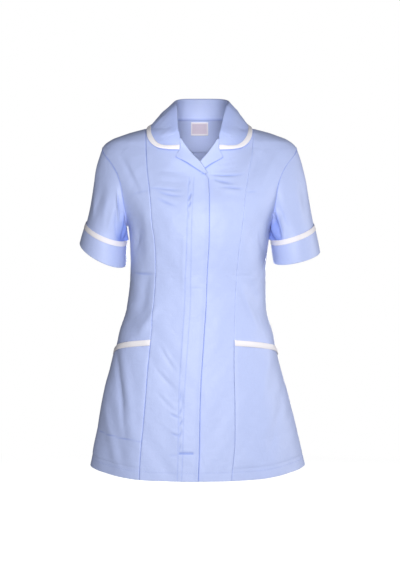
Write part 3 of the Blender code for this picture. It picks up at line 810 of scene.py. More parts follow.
def front_centre_grid(side):
    """From the princess seam to the closing edge, roll line and neckline, with the edge turned in."""
    z, deep = hem_rows(-0.0122)
    toward = -sign_of(side)
    seam = read(PRINCESS, side, z)
    inset = FOLD_INSET * ease((z - BREAK) / FOLD_INSET_RAMP + 1)
    edge = read(FRONT_EDGE, side, z) - toward * inset
    start = np.clip(theta_of_x(seam, z), -SIDE, SIDE)
    end = theta_of_x(edge, z)
    fold_steps = np.concatenate([[0.0100, 0.0045], FOLD_IN, [0.0020, 0.0060, 0.0120]])
    fold_deep = np.concatenate([[0.0, 0.0], FOLD_DEEP, np.full(3, -2 * FOLD_RADIUS)])
    theta, from_start, from_end = across_panel(start, end, z, OVER_STEPS, 64, fold_steps[::-1])
    z = np.broadcast_to(z[:, None], theta.shape)
    x = form_skin(theta, z)[..., 0]
    groove, shade = front_marks(side, x, z)
    layers = np.concatenate([np.zeros(theta.shape[1] - len(fold_deep)), fold_deep])
    height = lap_height(side, x, z) + front_height(x, z) + over_edge(from_start)
    lift = 0.0006 * bell(from_end, 0.004) * (side == "right")
    height = height + seam_pucker(z, from_start) + groove + lift + np.minimum(deep[:, None], layers)
    # Painted shade at the seam, in sharp creases and under the lapel and collar
    shade = np.maximum(shade, seam_shade(from_start, side, z))
    shade = np.maximum(shade, crease_shade(x, z, FRONT_CREASES) * calm(z))
    shade = np.maximum(shade, edge_shade(side, x, z))
    if side == "left":
        beside = x - read(FRONT_EDGE, "right", z)
        below = ease((BREAK - z) / 0.006)
        height = height - 0.0009 * bell(beside, 0.0012) * below
        # Painted shadow on the left front beside the right front's lapping edge
        shade = np.maximum(shade, 0.95 * bell(np.maximum(beside, 0.0), 0.0014) * below)
    return form(theta, z, height), shade


def side_edges(side, z, z_side):
    inner = theta_of_x(read(PRINCESS, side, z), z)
    outer = armhole_theta(z_side, True) * sign_of(side)
    return inner, outer


def front_side_grid(side):
    """From under the princess seam to the side seam, armhole and shoulder seam."""
    z, deep = hem_rows(-0.0290)
    z_side = z + hem_rise(z)
    inner, outer = side_edges(side, z, z_side)
    theta, from_start, from_end = across_panel(inner, outer, z, UNDER_STEPS, 52, OVER_STEPS)
    share = (theta - inner[:, None]) / (outer - inner)[:, None]
    z = z[:, None] + (z_side - z)[:, None] * share
    x = form_skin(theta, z)[..., 0]
    groove, shade = front_marks("side", x, z - hem_rise(z) * share)
    height = front_height(x, z) + under_edge(from_start, side) + over_edge(from_end)
    height = height + seam_pucker(z, from_start) + seam_pucker(z, from_end) + groove + deep[:, None]
    # Painted shade at the seams, under the lapel and collar, and in sharp creases
    seams = np.maximum(seam_shade(from_start, side, z), seam_shade(from_end, "armhole", z))
    shade = np.maximum(shade, edge_shade(side, x, z))
    shade = np.maximum(shade, crease_shade(x, z, FRONT_CREASES) * calm(z))
    return form(theta, z, height), np.maximum(shade, seams)


def back_height(x, z):
    return (crease_height(x, z, BACK_CREASES) + wave_height(x + 0.31, z)) * ease((-0.020 - z) / 0.030)


def back_grid():
    """The whole back: tucked under the fronts at sides and shoulders, over the sleeves at the armholes."""
    z, deep = hem_rows(NECK_TOP)
    z = z + hem_rise(z)
    start = armhole_theta(z, False)
    theta, from_start, from_end = across_panel(start, 2 * np.pi - start, z, UNDER_STEPS, 100, UNDER_STEPS)
    tuck = 1 - in_armhole(z)[:, None]
    near = np.minimum(from_start, from_end)[None, :]
    speed = ring_speed(theta, z[:, None])
    pull_in = np.where(near < 0, near * (1 - tuck) * 0.93, 0.0) / speed
    theta = theta - pull_in * np.where(from_start < 0, 1.0, -1.0)
    z = np.broadcast_to(z[:, None], theta.shape)
    x = form_skin(theta, z)[..., 0]
    hem_line = z - (HEM_FRONT + HEM_RISE + HEM_STITCH)
    height = back_height(x, z) + under_edge(near) * tuck + over_edge(near) * (1 - tuck)
    height = height + seam_pucker(z, near) + stitch_groove(hem_line) + deep[:, None]
    # Painted shade along the seams and the hem's stitch row
    shade = np.maximum(seam_shade(near, "back", z), groove_shade(hem_line))
    return form(theta, z, height), shade


def fly_grid():
    """The strip behind the right front's closing edge."""
    z = np.linspace(FLY_STRIP["low"], BREAK - UNDER_BREAK, 150)[:, None]
    edge = read(FRONT_EDGE, "right", z)
    x = edge - FLY_STRIP["inset"] - FLY_STRIP["width"] * np.linspace(1, 0, 14)
    height = lap_height("right", x, z) + front_height(x, z) - FLY_STRIP["behind"]
    return form(theta_of_x(x, z), z + 0 * x, height)


def pocket_grids(side):
    """The pocket over the side panel, from its stitched bottom to its mouth, and the binding of the mouth."""
    share = np.linspace(0, 1, 104)
    low = HEM_FRONT + HEM_STITCH + POCKET_OVER_HEM
    z_front = low + (POCKET["front"] - low) * share
    z_side = low + HEM_RISE + (POCKET["side"] - low - HEM_RISE) * share
    inner, outer = side_edges(side, z_front, z_side)
    theta, from_start, from_end = across_panel(inner, outer, z_front, OVER_STEPS, 52, OVER_STEPS)
    part = (theta - inner[:, None]) / (outer - inner)[:, None]
    droop = part + (part ** 2 - part) * 0.48 * share[:, None]
    z = z_front[:, None] + (z_side - z_front)[:, None] * droop
    x = form_skin(theta, z)[..., 0]
    near = np.minimum(from_start, from_end)
    swell = 0.0008 * ease(near / 0.008) + 0.0022 * share[:, None] ** 3 * np.sin(np.pi * np.clip(part, 0, 1))
    bottom = z - (POCKET["bottom"] + 0.006 * part)
    above = z - z[:1]
    held = (0.35 + 0.65 * ease(bottom / 0.02)) * ease(above / 0.02)
    base = front_height(x, z) + under_edge(from_start, side) + over_edge(from_end)
    base = base - 0.0003 + 0.0010 * ease(above / 0.007)
    height = base + swell * held + stitch_groove(bottom) + seam_pucker(z, near)
    # Painted shade along the seams, and along the stitched bottom on the wearer's right only
    seams = np.maximum(seam_shade(from_start, side, z), seam_shade(from_end, "armhole", z))
    shade = np.maximum(2 * groove_shade(bottom) * (side == "right"), seams)
    pocket = form(theta, z, height)
    rows = []
    for down, out in POCKET_TRIM[::-1]:
        held_out = out * (0.1 + 0.9 * ease(from_end / 0.010)) if out > 0 else out
        rows.append(form(theta[-1], z[-1] - down, height[-1] + held_out))
    return pocket, shade, np.stack(rows)


def armhole_seam(turn):
    """Points and slopes of the armhole seam; turn 0 is the top, 90 degrees the front."""
    z = ARMHOLE_MIDDLE + ARMHOLE_REACH * np.cos(turn)
    theta = np.where(np.sin(turn) >= 0, armhole_theta(z, True), armhole_theta(z, False))
    return form(theta, z), form_normal(theta, z)


def sleeve_ring(rings, row, turn):
    """A tilted oval: out by cosine, forward by sine, rising outwards and dropping to the front."""
    x, y, z, half_width, half_depth, rise, drop = (column[row] for column in rings.values())
    out = half_width * np.cos(turn)
    forward = half_depth * np.sin(turn)
    return np.stack([x + out, y - forward, z + rise * out - drop * forward], -1)


SLEEVE_TURNS = 136
SLEEVE_RADIUS = 0.052


def sleeve_parts(side):
    """The armhole seam, its slope, the way the sleeve leaves it, and the rings at the cuff's top and hem."""
    turn = np.linspace(0, 2 * np.pi, SLEEVE_TURNS, endpoint=False)
    seam, slope = armhole_seam(turn)
    cuff = sleeve_ring(SLEEVE_RINGS[side], 0, turn)
    hem = sleeve_ring(SLEEVE_RINGS[side], 1, turn)
    under = ((1 - np.cos(turn)) / 2)[:, None]
    swell = SLEEVE_TOP_SWELL + (SLEEVE_UNDER_SWELL - SLEEVE_TOP_SWELL) * under
    leave = unit(unit(cuff - seam) + swell * slope)
    return turn, seam, slope, leave, cuff, hem


def outward_turned(grid, side):
    """Built on the wearer's left, then set on its side with its faces pointing out."""
    grid = grid * np.array([sign_of(side), 1.0, 1.0])
    return grid if side == "right" else grid[:, ::-1]


def sleeve_grid(side):
    """A tube: a cubic from the armhole seam to the cuff's top, then straight to the hem, with its creases."""
    turn, seam, slope, leave, cuff, hem = sleeve_parts(side)
    length = np.linalg.norm(cuff - seam, axis=-1, keepdims=True)
    arrive = unit(hem - cuff)
    t = (np.linspace(0, 1, 76) ** 1.15)[:, None, None]
    start = seam + leave * 0.0004
    upper = (
        start * (1 + 2 * t) * (1 - t) ** 2
        + cuff * t * t * (3 - 2 * t)
        + leave * length * t * (1 - t) ** 2
        + arrive * length * t * t * (t - 1)
    )
    lower = cuff + (hem - cuff) * np.linspace(0, 1, 16)[1:, None, None]
    grid = np.concatenate([upper, lower])
    down = np.concatenate([t[:, 0, 0], 1 + np.linspace(0, 1, 16)[1:] * 0.35])[:, None]
    metres = down * length[:, 0]
    height = np.zeros(grid.shape[:2])
    for around, at, crease, angle, width, depth in zip(*SLEEVE_CREASES[side].values()):
        u = np.radians(apart_around(np.degrees(turn), around))[None, :] * SLEEVE_RADIUS
        v = metres - at * length[:, 0]
        cos, sin = np.cos(np.radians(angle)), np.sin(np.radians(angle))
        along, across = v * cos + u * sin, u * cos - v * sin
        height = height + depth * crease_line(along, across, crease, width)
    flat = np.where(np.cos(turn) > 0.2, 0.45, 0.08)
    height = height * ease(down / 0.10) * ease((1.02 - down) / flat) * bpy.context.scene.tunic_sizes.crease
    ripple = np.sin(7 * turn + 0.6 * np.sin(3 * turn))[None, :]
    height = height + 0.00030 * ripple * np.exp(-metres / 0.012)
    height = height - 0.0008 * (1 - ease(metres / 0.0030))
    grid = moved(grid, -height, True)
    inward = unit(np.cross(np.roll(seam, -1, 0) - np.roll(seam, 1, 0), slope))
    tucked = np.stack([seam + inward * 0.0032 - slope * 0.0015, seam + inward * 0.0012 - slope * 0.0014])
    grid = np.concatenate([tucked, grid])[::-1]
    # Painted shade in the deepest fold troughs, round the underarm and at the seam, and full painted shade on the two
    # rows tucked under the body
    folds = np.clip((-height - 0.0014) / 0.0075, 0.0, 0.75)
    under = 0.75 * ease((np.abs(np.degrees(turn) - 157) - 46) / -26) * ease(metres / 0.02)
    marks = np.maximum(seam_shade(metres, "armhole", metres), np.maximum(folds, under))
    shade = np.concatenate([np.ones((2, SLEEVE_TURNS)), marks])[::-1]
    return outward_turned(grid, side), shade if side == "right" else shade[:, ::-1]


def band_on_sleeve(side, profile):
    """A profile of (distance up from the hem, height) carried round the sleeve's end."""
    turn, _, _, _, cuff, hem = sleeve_parts(side)
    up = cuff - hem
    reach = np.linalg.norm(up, axis=-1, keepdims=True)
    along = np.roll(hem, -1, 0) - np.roll(hem, 1, 0)
    out = -unit(np.cross(along, up))
    distance = np.array([p[0] for p in profile])[:, None, None]
    share = np.array([p[1] for p in profile])[:, None, None]
    height = np.array([p[2] for p in profile])[:, None, None]
    sway = 0.0003 * np.sin(2 * turn + 0.8)[None, :, None] * share
    grid = hem + unit(up) * (distance + reach * share) + out * (height + sway)
    return outward_turned(grid, side)


CUFF_RADIUS = 0.0015


def cuff_grids(side):
    """The turned-back cuff, folded at the hem, and the binding over its top edge.

    Profiles hold a distance in metres, a share of the cuff's height and a height above the sleeve.
    """
    arc = np.radians(np.linspace(0, 180, 9))
    fold = [(0.0006 - CUFF_RADIUS * np.sin(a), 0.0, 0.0001 - CUFF_RADIUS * np.cos(a)) for a in arc]
    inside = [(d, 0.0, -0.0014) for d in (0.0150, 0.0110, 0.0070, 0.0035, 0.0015)]
    outside = [(0.0, s, 0.0015 - 0.0005 * s + 0.0007 * np.sin(np.pi * s)) for s in np.linspace(0.06, 0.985, 24)]
    top = [(0.0, 1.0, 0.0010), (0.0002, 1.0, 0.0009), (-0.0004, 1.0, 0.0007), (-0.0040, 1.0, 0.0006)]
    cuff = band_on_sleeve(side, inside + fold + outside + top)
    binding = band_on_sleeve(side, [
        (-0.0100, 1.0, 0.0018), (-0.0097, 1.0, 0.0021), (-0.0080, 1.0, 0.0022), (-0.0050, 1.0, 0.0020),
        (-0.0020, 1.0, 0.0017), (-0.0004, 1.0, 0.0015), (0.0005, 1.0, 0.0014), (0.0008, 1.0, 0.0012),
        (0.0007, 1.0, 0.0010), (0.0003, 1.0, 0.0006), (-0.0010, 1.0, 0.0003), (-0.0040, 1.0, 0.0002),
    ])
    return cuff, binding


def form_gap(points):
    """Distance of points from the form, and the direction straight out of it."""
    def ratio(p):
        half_width, depth, square = ring_sizes(p[..., 2], p[..., 1] < 0)
        across = np.abs(p[..., 0]) / half_width
        along = np.abs(p[..., 1]) / depth
        return (across ** square + along ** square) ** (1 / square)

    step = 1e-4
    steps = np.eye(3) * step
    slope = np.stack([(ratio(points + s) - ratio(points - s)) / (2 * step) for s in steps], -1)
    steepness = np.linalg.norm(slope, axis=-1, keepdims=True)
    return (ratio(points)[..., None] - 1) / steepness, slope / steepness


def clear_of_form(points, gap):
    """The points, pushed out where they lie closer to the form than the gap."""
    under_neck = points[..., 2:] < NECK_TOP
    for _ in range(4):
        distance, outward = form_gap(points)
        points = points + outward * np.maximum(gap - distance, 0.0) * under_neck
    return points


COLLAR_STEPS = 12
STAND_ROWS = 17


def collar_lines():
    """Neck seam, fold and outer edge, all along the collar."""
    rows = len(COLLAR["seam_x"])
    knots = np.arange(1 - rows, rows)
    u = np.linspace(1 - rows, rows - 1, 2 * COLLAR_STEPS * (rows - 1) + 1)

    def curve(name):
        axes = []
        for axis in "xyz":
            column = COLLAR[f"{name}_{axis}"]
            mirrored = -column[:0:-1] if axis == "x" else column[:0:-1]
            axes.append(smooth(u, knots, np.concatenate([mirrored, column])))
        return np.stack(axes, -1)

    seam, fold, edge = curve("seam"), curve("fold"), curve("edge")
    fold[:, 0] += COLLAR_LEAN * ease((fold[:, 2] + 0.03) / 0.06)
    return u, seam, fold, edge


def collar_grid():
    """Across the collar: up the stand, round the fold's arc and down the fall, which bulges a little."""
    u, seam, fold, edge = collar_lines()
    stand = fold - seam
    fall = edge - fold
    up = unit(unit(stand) - unit(fall))
    out = unit(fall - np.sum(fall * up, -1, keepdims=True) * up)
    radius = np.minimum(COLLAR_FOLD, 0.45 * np.linalg.norm(stand, axis=-1, keepdims=True))
    centre = fold - radius * up
    inside, outside = centre - radius * out, centre + radius * out
    tuck = seam - unit(inside - seam) * 0.0045 + out * 0.0004
    columns = [tuck] + [seam + (inside - seam) * share for share in np.linspace(0.0, 1.0, 14)]
    for turn in np.radians(np.linspace(15.0, 165.0, 9)):
        columns.append(centre + radius * (up * np.sin(turn) - out * np.cos(turn)))
    reach = np.linalg.norm(edge - outside, axis=-1, keepdims=True)
    bulge = COLLAR_BULGE * ease((reach - 0.03) / 0.03)
    for t in np.concatenate([np.linspace(0.0, 0.96, 40), [0.98, 1.0]]):
        dents = 0.0009 * np.sin(2.3 * u + 3.0 * t + 0.7) + 0.0006 * np.sin(5.3 * u - 6.0 * t + 2.0)
        dents = dents + 0.00030 * np.sin(12.7 * u + 9.0 * t) + 0.00022 * np.sin(19.0 * t - 4.0 * u)
        arch = 4 * t * (1 - t)
        soft = bulge * arch + dents[:, None] * arch * ease((reach - 0.012) / 0.02)
        columns.append(clear_of_form(outside + (edge - outside) * t + out * soft, COLLAR_CLEAR))
    return np.stack(columns, 0)


def collar_shade(grid):
    """Painted shade: lines where the stand is sewn on and stitched inside, and a slow, uneven darkening over the fold
    and fall.
    """
    up = np.linalg.norm(np.cumsum(np.diff(grid[1:], axis=0, prepend=grid[1:2]), axis=0), axis=-1)
    lines = 0.25 * bell(up, 0.0010) + 0.20 * bell(up - 0.0070, 0.0009)
    shade = np.concatenate([0.3 + 0 * lines[:1], lines])
    fall = len(shade) - STAND_ROWS
    # Painted shade over the fold and fall, in slow waves
    shade[STAND_ROWS:] = 0.15 + 0.05 * np.sin(np.linspace(0, 9, fall))[:, None]
    return shade


def collar_binding_grid(grid):
    """The binding's profile carried along the collar's outer edge."""
    edge = grid[-1]
    back = unit(grid[-6] - edge)
    along = np.gradient(edge, axis=0)
    out = unit(np.cross(along, back))
    out = out * np.sign(np.sum(out * form_gap(edge)[1], -1, keepdims=True))
    profile = ((0.0098, 0.0003), (0.0094, 0.0009), (0.0070, 0.0011), (0.0048, 0.0009), (0.0026, 0.0011),
               (0.0006, 0.0010), (-0.0004, 0.0006), (-0.0009, -0.0001), (-0.0008, -0.0010),
               (0.0000, -0.0016), (0.0020, -0.0018), (0.0088, -0.0018))
    return np.stack([edge + back * inward + out * height for inward, height in profile], 0)


def lapel_rows(side):
    """The lapel's table, whose lower end differs on the lapping side."""
    if side == "left":
        return LAPEL
    top = len(LAPEL["roll_x"]) - len(LAPEL_RIGHT_END["roll_x"])
    return {name: np.append(LAPEL[name][:top], LAPEL_RIGHT_END[name]) for name in LAPEL}


def lapel_grid(side):
    """From the return inside the front, round the roll, to the lapel's outer edge, which lifts a little."""
    rows = lapel_rows(side)
    knots = np.arange(len(rows["roll_x"]))
    u = np.linspace(0, knots[-1], 90)
    rows = {name: smooth(u, knots, column) for name, column in rows.items()}
    roll = np.stack([rows["roll_x"], rows["roll_z"]], -1)
    edge = np.stack([rows["edge_x"], rows["edge_z"]], -1)
    width = np.linalg.norm(edge - roll, axis=-1)
    along = unit(edge - roll)
    middle = (LAPEL_OUT + LAPEL_IN) / 2
    radius = (LAPEL_OUT - LAPEL_IN) / 2
    inside = np.minimum(0.012, np.maximum(width, 2 * radius))
    stations = [(inside, LAPEL_IN), (0.6 * inside + 0.4 * radius, LAPEL_IN), (radius + 0 * inside, LAPEL_IN)]
    for turn in np.radians(np.linspace(18, 162, 9)):
        stations.append((radius - radius * np.sin(turn) + 0 * inside, middle - radius * np.cos(turn)))
    reach = np.maximum(width, radius + 0.002) - radius
    for share in np.linspace(0.0, 1.0, 22):
        stations.append((radius + reach * share, LAPEL_OUT + 0.0004 + 0.0014 * share ** 2))
    columns = []
    for distance, height in stations:
        x = (roll[:, 0] + along[:, 0] * distance) * sign_of(side)
        z = roll[:, 1] + along[:, 1] * distance
        columns.append(form(theta_of_x(x, z), z, lap_height(side, x, z) + height))
    grid = np.stack(columns, 1)[::-1]
    return grid[:, ::-1] if side == "right" else grid


def facing_grid():
    """The neck facing inside the back, with its lower edge turned."""
    z = np.concatenate([[FACING["z"][0] + 0.006, FACING["z"][0] + 0.001], np.linspace(*FACING["z"][[0, -1]], 60)])
    deep = np.concatenate([[0.0006, 0.0005], np.zeros(60)])
    reach = np.radians(smooth(np.maximum(z, FACING["z"][0]), FACING["z"], FACING["reach"]))
    reach[:2] = reach[2]
    theta = np.pi + reach[:, None] * np.linspace(-1, 1, 90)
    z = np.broadcast_to(z[:, None], theta.shape)
    groove = stitch_groove(z + 0.0168)
    wave = 0.0003 * np.sin(theta * 9 + z * 60)
    return form(theta, z, FACING_IN + deep[:, None] + groove + wave)


def label_grid():
    """A small flat label that bows a little off the facing between its stitched corners."""
    x = np.linspace(*LABEL["x"], 26)[::-1]
    z = np.linspace(*LABEL["z"], 20)
    x, z = np.meshgrid(x, z)
    half_width, _, square = ring_sizes(z, False)
    share = np.abs(x) / half_width
    theta = np.pi - np.sign(x) * np.arctan2(share, (1 - share ** square) ** (1 / square))
    across = (x - x.min()) / (x.max() - x.min())
    upward = (z - z.min()) / (z.max() - z.min())
    bow = 0.0007 * np.sin(np.pi * across) * np.sin(np.pi * (1 - upward) / 2 + 0.3)
    return form(theta, z, LABEL_IN + 0.0008 - bow)


def linear_colour(code, strength=1.0):
    """An sRGB hex code as a linear colour, as much brighter or darker as strength says."""
    value = np.array([int(code[i:i + 2], 16) for i in (0, 2, 4)]) / 255
    linear = np.where(value <= 0.04045, value / 12.92, ((value + 0.055) / 1.055) ** 2.4)
    return (*np.minimum(1.0, linear * strength).tolist(), 1.0)


def add_node(tree, kind, values):
    """One node. Each value sets a property or an input, or is a (node, output) that is linked to the input."""
    node = tree.nodes.new(kind)
    for name, value in values.items():
        if isinstance(value, tuple) and isinstance(value[0], bpy.types.Node):
            tree.links.new(value[0].outputs[value[1]], node.inputs[name])
        elif isinstance(name, str) and hasattr(node, name):
            setattr(node, name, value)
        else:
            node.inputs[name].default_value = value
    return node


def new_material(name):
    """An empty material, and the function that adds nodes to it."""
    material = bpy.data.materials.new(name)
    material.use_nodes = True
    material.node_tree.nodes.clear()
    return material, partial(add_node, material.node_tree)


def cloth_place(add):
    return add("ShaderNodeUVMap", {"uv_map": "cloth"}), "UV"


def stretched(add, at, values):
    return add("ShaderNodeMapping", {**values, "Vector": at}), "Vector"


def attribute(add, name):
    return add("ShaderNodeAttribute", {"attribute_name": name}), "Fac"


def fine_lines(add, at, direction, scale, values=None):
    """Even lines, one for each LINE_PITCH at a scale of one."""
    return add("ShaderNodeTexWave", {"bands_direction": direction, "Scale": scale, **(values or {}), "Vector": at})


def mixed(add, factor, first, second, blend="MIX"):
    """Two colours mixed by a factor. Each of the three is a constant or a (node, output)."""
    return add("ShaderNodeMix", {"data_type": "RGBA", "blend_type": blend, "Factor": factor, 6: first, 7: second}), 2


def counted(add, operation, *terms):
    return add("ShaderNodeMath", {"operation": operation, **dict(enumerate(terms))}), 0


def bumped(add, height, strength, distance, **under):
    values = {"Strength": strength, "Distance": distance, "Height": height, **under}
    return add("ShaderNodeBump", values), "Normal"


def shaded(add, colour, values):
    """The shader with its constants on its own inputs, and the output."""
    shader = add("ShaderNodeBsdfPrincipled", {**values, "Base Color": colour})
    add("ShaderNodeOutputMaterial", {"Surface": (shader, "BSDF")})


def polycotton_twill():
    """Polyester and cotton twill, woven and pressed: fine diagonal lines with a soft satin sheen."""
    material, add = new_material("polycotton twill, pressed")
    colours, sizes = bpy.context.scene.tunic_colours, bpy.context.scene.tunic_sizes
    at = cloth_place(add)
    # Real twill lines are 0.4 mm apart, too fine to show, so they are drawn as wide as the size says
    turned = stretched(add, at, {"Rotation": (0, 0, np.radians(-62))})
    lines = fine_lines(add, turned, "X", LINE_PITCH / sizes.twill,
                       {"Distortion": 0.5, "Detail": 1.0, "Detail Scale": 2.0})
    # Slubs along and across, where the yarns are uneven
    threads = [
        (add("ShaderNodeTexNoise", {"Scale": 1.0, "Detail": 3.0, "Roughness": 0.6,
                                    "Vector": stretched(add, at, {"Scale": scale})}), "Fac")
        for scale in ((900.0, 60.0, 1.0), (45.0, 800.0, 1.0))
    ]
    uneven = counted(add, "MULTIPLY", counted(add, "ADD", *threads), 0.5)
    weave = counted(add, "MULTIPLY_ADD", (lines, "Fac"), 0.45, uneven)
    tone = mixed(add, weave, linear_colour(colours.cloth, 0.95), linear_colour(colours.cloth, 1.07))
    # Painted shade: the tone is mixed toward the deep blue as far as the seam attribute says
    painted_shade_tone = mixed(add, attribute(add, "seam"), tone, linear_colour(colours.cloth_painted_shade))
    # Fine crumple that pressing leaves, a few millimetres across
    crumple = add("ShaderNodeTexNoise", {"Scale": 42.0, "Detail": 2.5, "Roughness": 0.5, "Distortion": 0.6,
                                         "Vector": (add("ShaderNodeTexCoord", {}), "Object")})
    soft = bumped(add, (crumple, "Fac"), 0.55, 0.0020)
    shaded(add, painted_shade_tone, {
        "Roughness": 0.54, "IOR": 1.50, "Specular IOR Level": 0.42, "Sheen Weight": 0.10, "Sheen Roughness": 0.45,
        "Sheen Tint": (0.86, 0.90, 1.0, 1.0), "Normal": bumped(add, weave, 0.30, 0.00025, Normal=soft),
    })
    return material


def cotton_tape():
    """White cotton tape, woven in fine ribs and folded over the edge: matt, with a trace of grey between ribs."""
    material, add = new_material("cotton tape, ribbed white")
    white = bpy.context.scene.tunic_colours.binding
    # The tape's real ribs are 0.3 mm apart, drawn wider so that they show close by
    scale = LINE_PITCH / bpy.context.scene.tunic_sizes.tape
    ribs = fine_lines(add, cloth_place(add), "X", scale, {"Distortion": 0.3}), "Fac"
    tone = mixed(add, ribs, linear_colour(white, 0.90), linear_colour(white))
    # Painted shade: the tape greys as far as the seam attribute says
    painted_shade_tone = mixed(add, attribute(add, "seam"), tone, linear_colour(white, 0.72))
    shaded(add, painted_shade_tone, {
        "Roughness": 0.72, "IOR": 1.45, "Specular IOR Level": 0.35, "Sheen Weight": 0.10, "Sheen Roughness": 0.5,
        "Normal": bumped(add, ribs, 0.25, 0.0002),
    })
    return material


def sewing_thread():
    """Spun polyester thread dyed to match: two twisted plies with a soft shine."""
    material, add = new_material("polyester thread, twisted")
    colour = bpy.context.scene.tunic_colours.thread
    twist = fine_lines(add, (add("ShaderNodeTexCoord", {}), "Object"), "DIAGONAL", 520.0), "Fac"
    shaded(add, mixed(add, twist, linear_colour(colour, 0.80), linear_colour(colour)), {
        "Roughness": 0.45, "IOR": 1.50, "Specular IOR Level": 0.45, "Sheen Weight": 0.10, "Sheen Roughness": 0.4,
        "Normal": bumped(add, twist, 0.3, 0.0001),
    })
    return material


def woven_label():
    """Woven satin label, left blank: a pale border round a pinkish grey panel, with fine level threads."""
    material, add = new_material("satin label, woven blank")
    colours = bpy.context.scene.tunic_colours
    threads = fine_lines(add, cloth_place(add), "Y", 420.0, {"Distortion": 0.4})
    edge, panel = linear_colour(colours.label_edge), linear_colour(colours.label_panel)
    ground = mixed(add, attribute(add, "panel"), edge, panel)
    shaded(add, mixed(add, 0.10, ground, (threads, "Color"), "MULTIPLY"), {
        "Roughness": 0.42, "IOR": 1.50, "Specular IOR Level": 0.5, "Sheen Weight": 0.10, "Sheen Roughness": 0.3,
        "Normal": bumped(add, (threads, "Fac"), 0.2, 0.0001),
    })
    return material


def painted_floor():
    """Pale studio floor, painted and rolled: matt, with a faint mottle and a little glow to stay near white."""
    material, add = new_material("studio floor, painted")
    colour = bpy.context.scene.tunic_colours.floor
    place = add("ShaderNodeTexCoord", {}), "Object"
    mottle = add("ShaderNodeTexNoise", {"Scale": 3.0, "Detail": 2.0, "Vector": place}), "Fac"
    shader = add("ShaderNodeBsdfPrincipled", {
        "Roughness": 0.85, "Specular IOR Level": 0.2, "Emission Color": WHITE, "Emission Strength": 0.45,
        "Base Color": mixed(add, mottle, linear_colour(colour, 0.99), linear_colour(colour)),
    })
    # Far from the middle it turns into the backdrop's white, so that no edge shows
    white = add("ShaderNodeEmission", {"Color": WHITE})
    blend = add("ShaderNodeMixShader", {
        "Fac": attribute(add, "far"), 1: (shader, "BSDF"), 2: (white, "Emission"),
    })
    add("ShaderNodeOutputMaterial", {"Surface": (blend, "Shader")})
    return material


def white_backdrop():
    """Paper backdrop lit to plain white, seen by the camera alone."""
    material, add = new_material("paper backdrop, lit white")
    add("ShaderNodeOutputMaterial", {"Surface": (add("ShaderNodeEmission", {"Color": WHITE}), "Emission")})
    return material


def material_of(maker):
    """Each material is made once and kept under its maker's name."""
    kept = dict(bpy.context.scene.get("tunic_materials", {}))
    if maker.__name__ not in kept:
        kept[maker.__name__] = maker().name
        bpy.context.scene["tunic_materials"] = kept
    return bpy.data.materials[kept[maker.__name__]]


def cloth_uv(grid, closed):
    """Metres of cloth across and up from the grid's first corner."""
    across = np.linalg.norm(np.diff(grid, axis=1), axis=-1)
    u = np.concatenate([np.zeros((len(grid), 1)), np.cumsum(across, 1)], 1)
    u = u - u.mean(1, keepdims=True)
    upward = np.linalg.norm(np.diff(grid, axis=0), axis=-1).mean(1)
    v = np.concatenate([[0.0], np.cumsum(upward)])
    if closed:
        step = np.linalg.norm(grid[:, 0] - grid[:, -1], axis=-1)
        u = np.concatenate([u, u[:, -1:] + step[:, None]], 1)
    return np.stack([u, np.broadcast_to(v[:, None], u.shape)], -1)


def add_piece(name, points, faces, material):
    """A smooth mesh that rides on the garment's one body."""
    mesh = bpy.data.meshes.new(name)
    mesh.from_pydata(points.reshape(-1, 3).tolist(), [], faces.reshape(-1, faces.shape[-1]).tolist())
    mesh.shade_smooth()
    mesh.materials.append(material)
    piece = bpy.data.objects.new(name, mesh)
    bpy.context.scene.collection.objects.link(piece)
    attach(piece, "root")
    return piece


CLOTHS = {"blue_twill": polycotton_twill, "white_binding": cotton_tape, "satin_label": woven_label}
DOUBLE_WALL = 0.0009
LABEL_WALL = 0.0004


def add_cloth(name, grid, slot, nodes, wall=None, closed=False, shade=None, panel=None):
    """A shell of cloth: the grid is its outer face, and the thickness goes to the other side."""
    rows, columns = grid.shape[:2]
    number = np.arange(rows * columns).reshape(rows, columns)
    if closed:
        number = np.concatenate([number, number[:, :1]], 1)
    faces = np.stack([number[:-1, :-1], number[:-1, 1:], number[1:, 1:], number[1:, :-1]], -1)
    piece = add_piece(name, grid, faces, material_of(CLOTHS[slot]))
    mesh = piece.data
    uv = cloth_uv(grid, closed)
    corners = np.stack([uv[:-1, :-1], uv[:-1, 1:], uv[1:, 1:], uv[1:, :-1]], 2)
    layer = mesh.uv_layers.new(name="cloth")
    layer.data.foreach_set("uv", corners.reshape(-1).astype(np.float32))
    # The seam attribute carries painted shade; the panel attribute marks the label's middle
    for label, values in (("seam", shade), ("panel", panel)):
        values = np.zeros((rows, columns)) if values is None else np.broadcast_to(values, (rows, columns))
        attribute = mesh.attributes.new(label, "FLOAT", "POINT")
        attribute.data.foreach_set("value", values.reshape(-1).astype(np.float32))
    thicken = piece.modifiers.new("wall", "SOLIDIFY")
    thicken.thickness = bpy.context.scene.tunic_sizes.wall if wall is None else wall
    thicken.offset = -1.0
    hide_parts(*nodes)


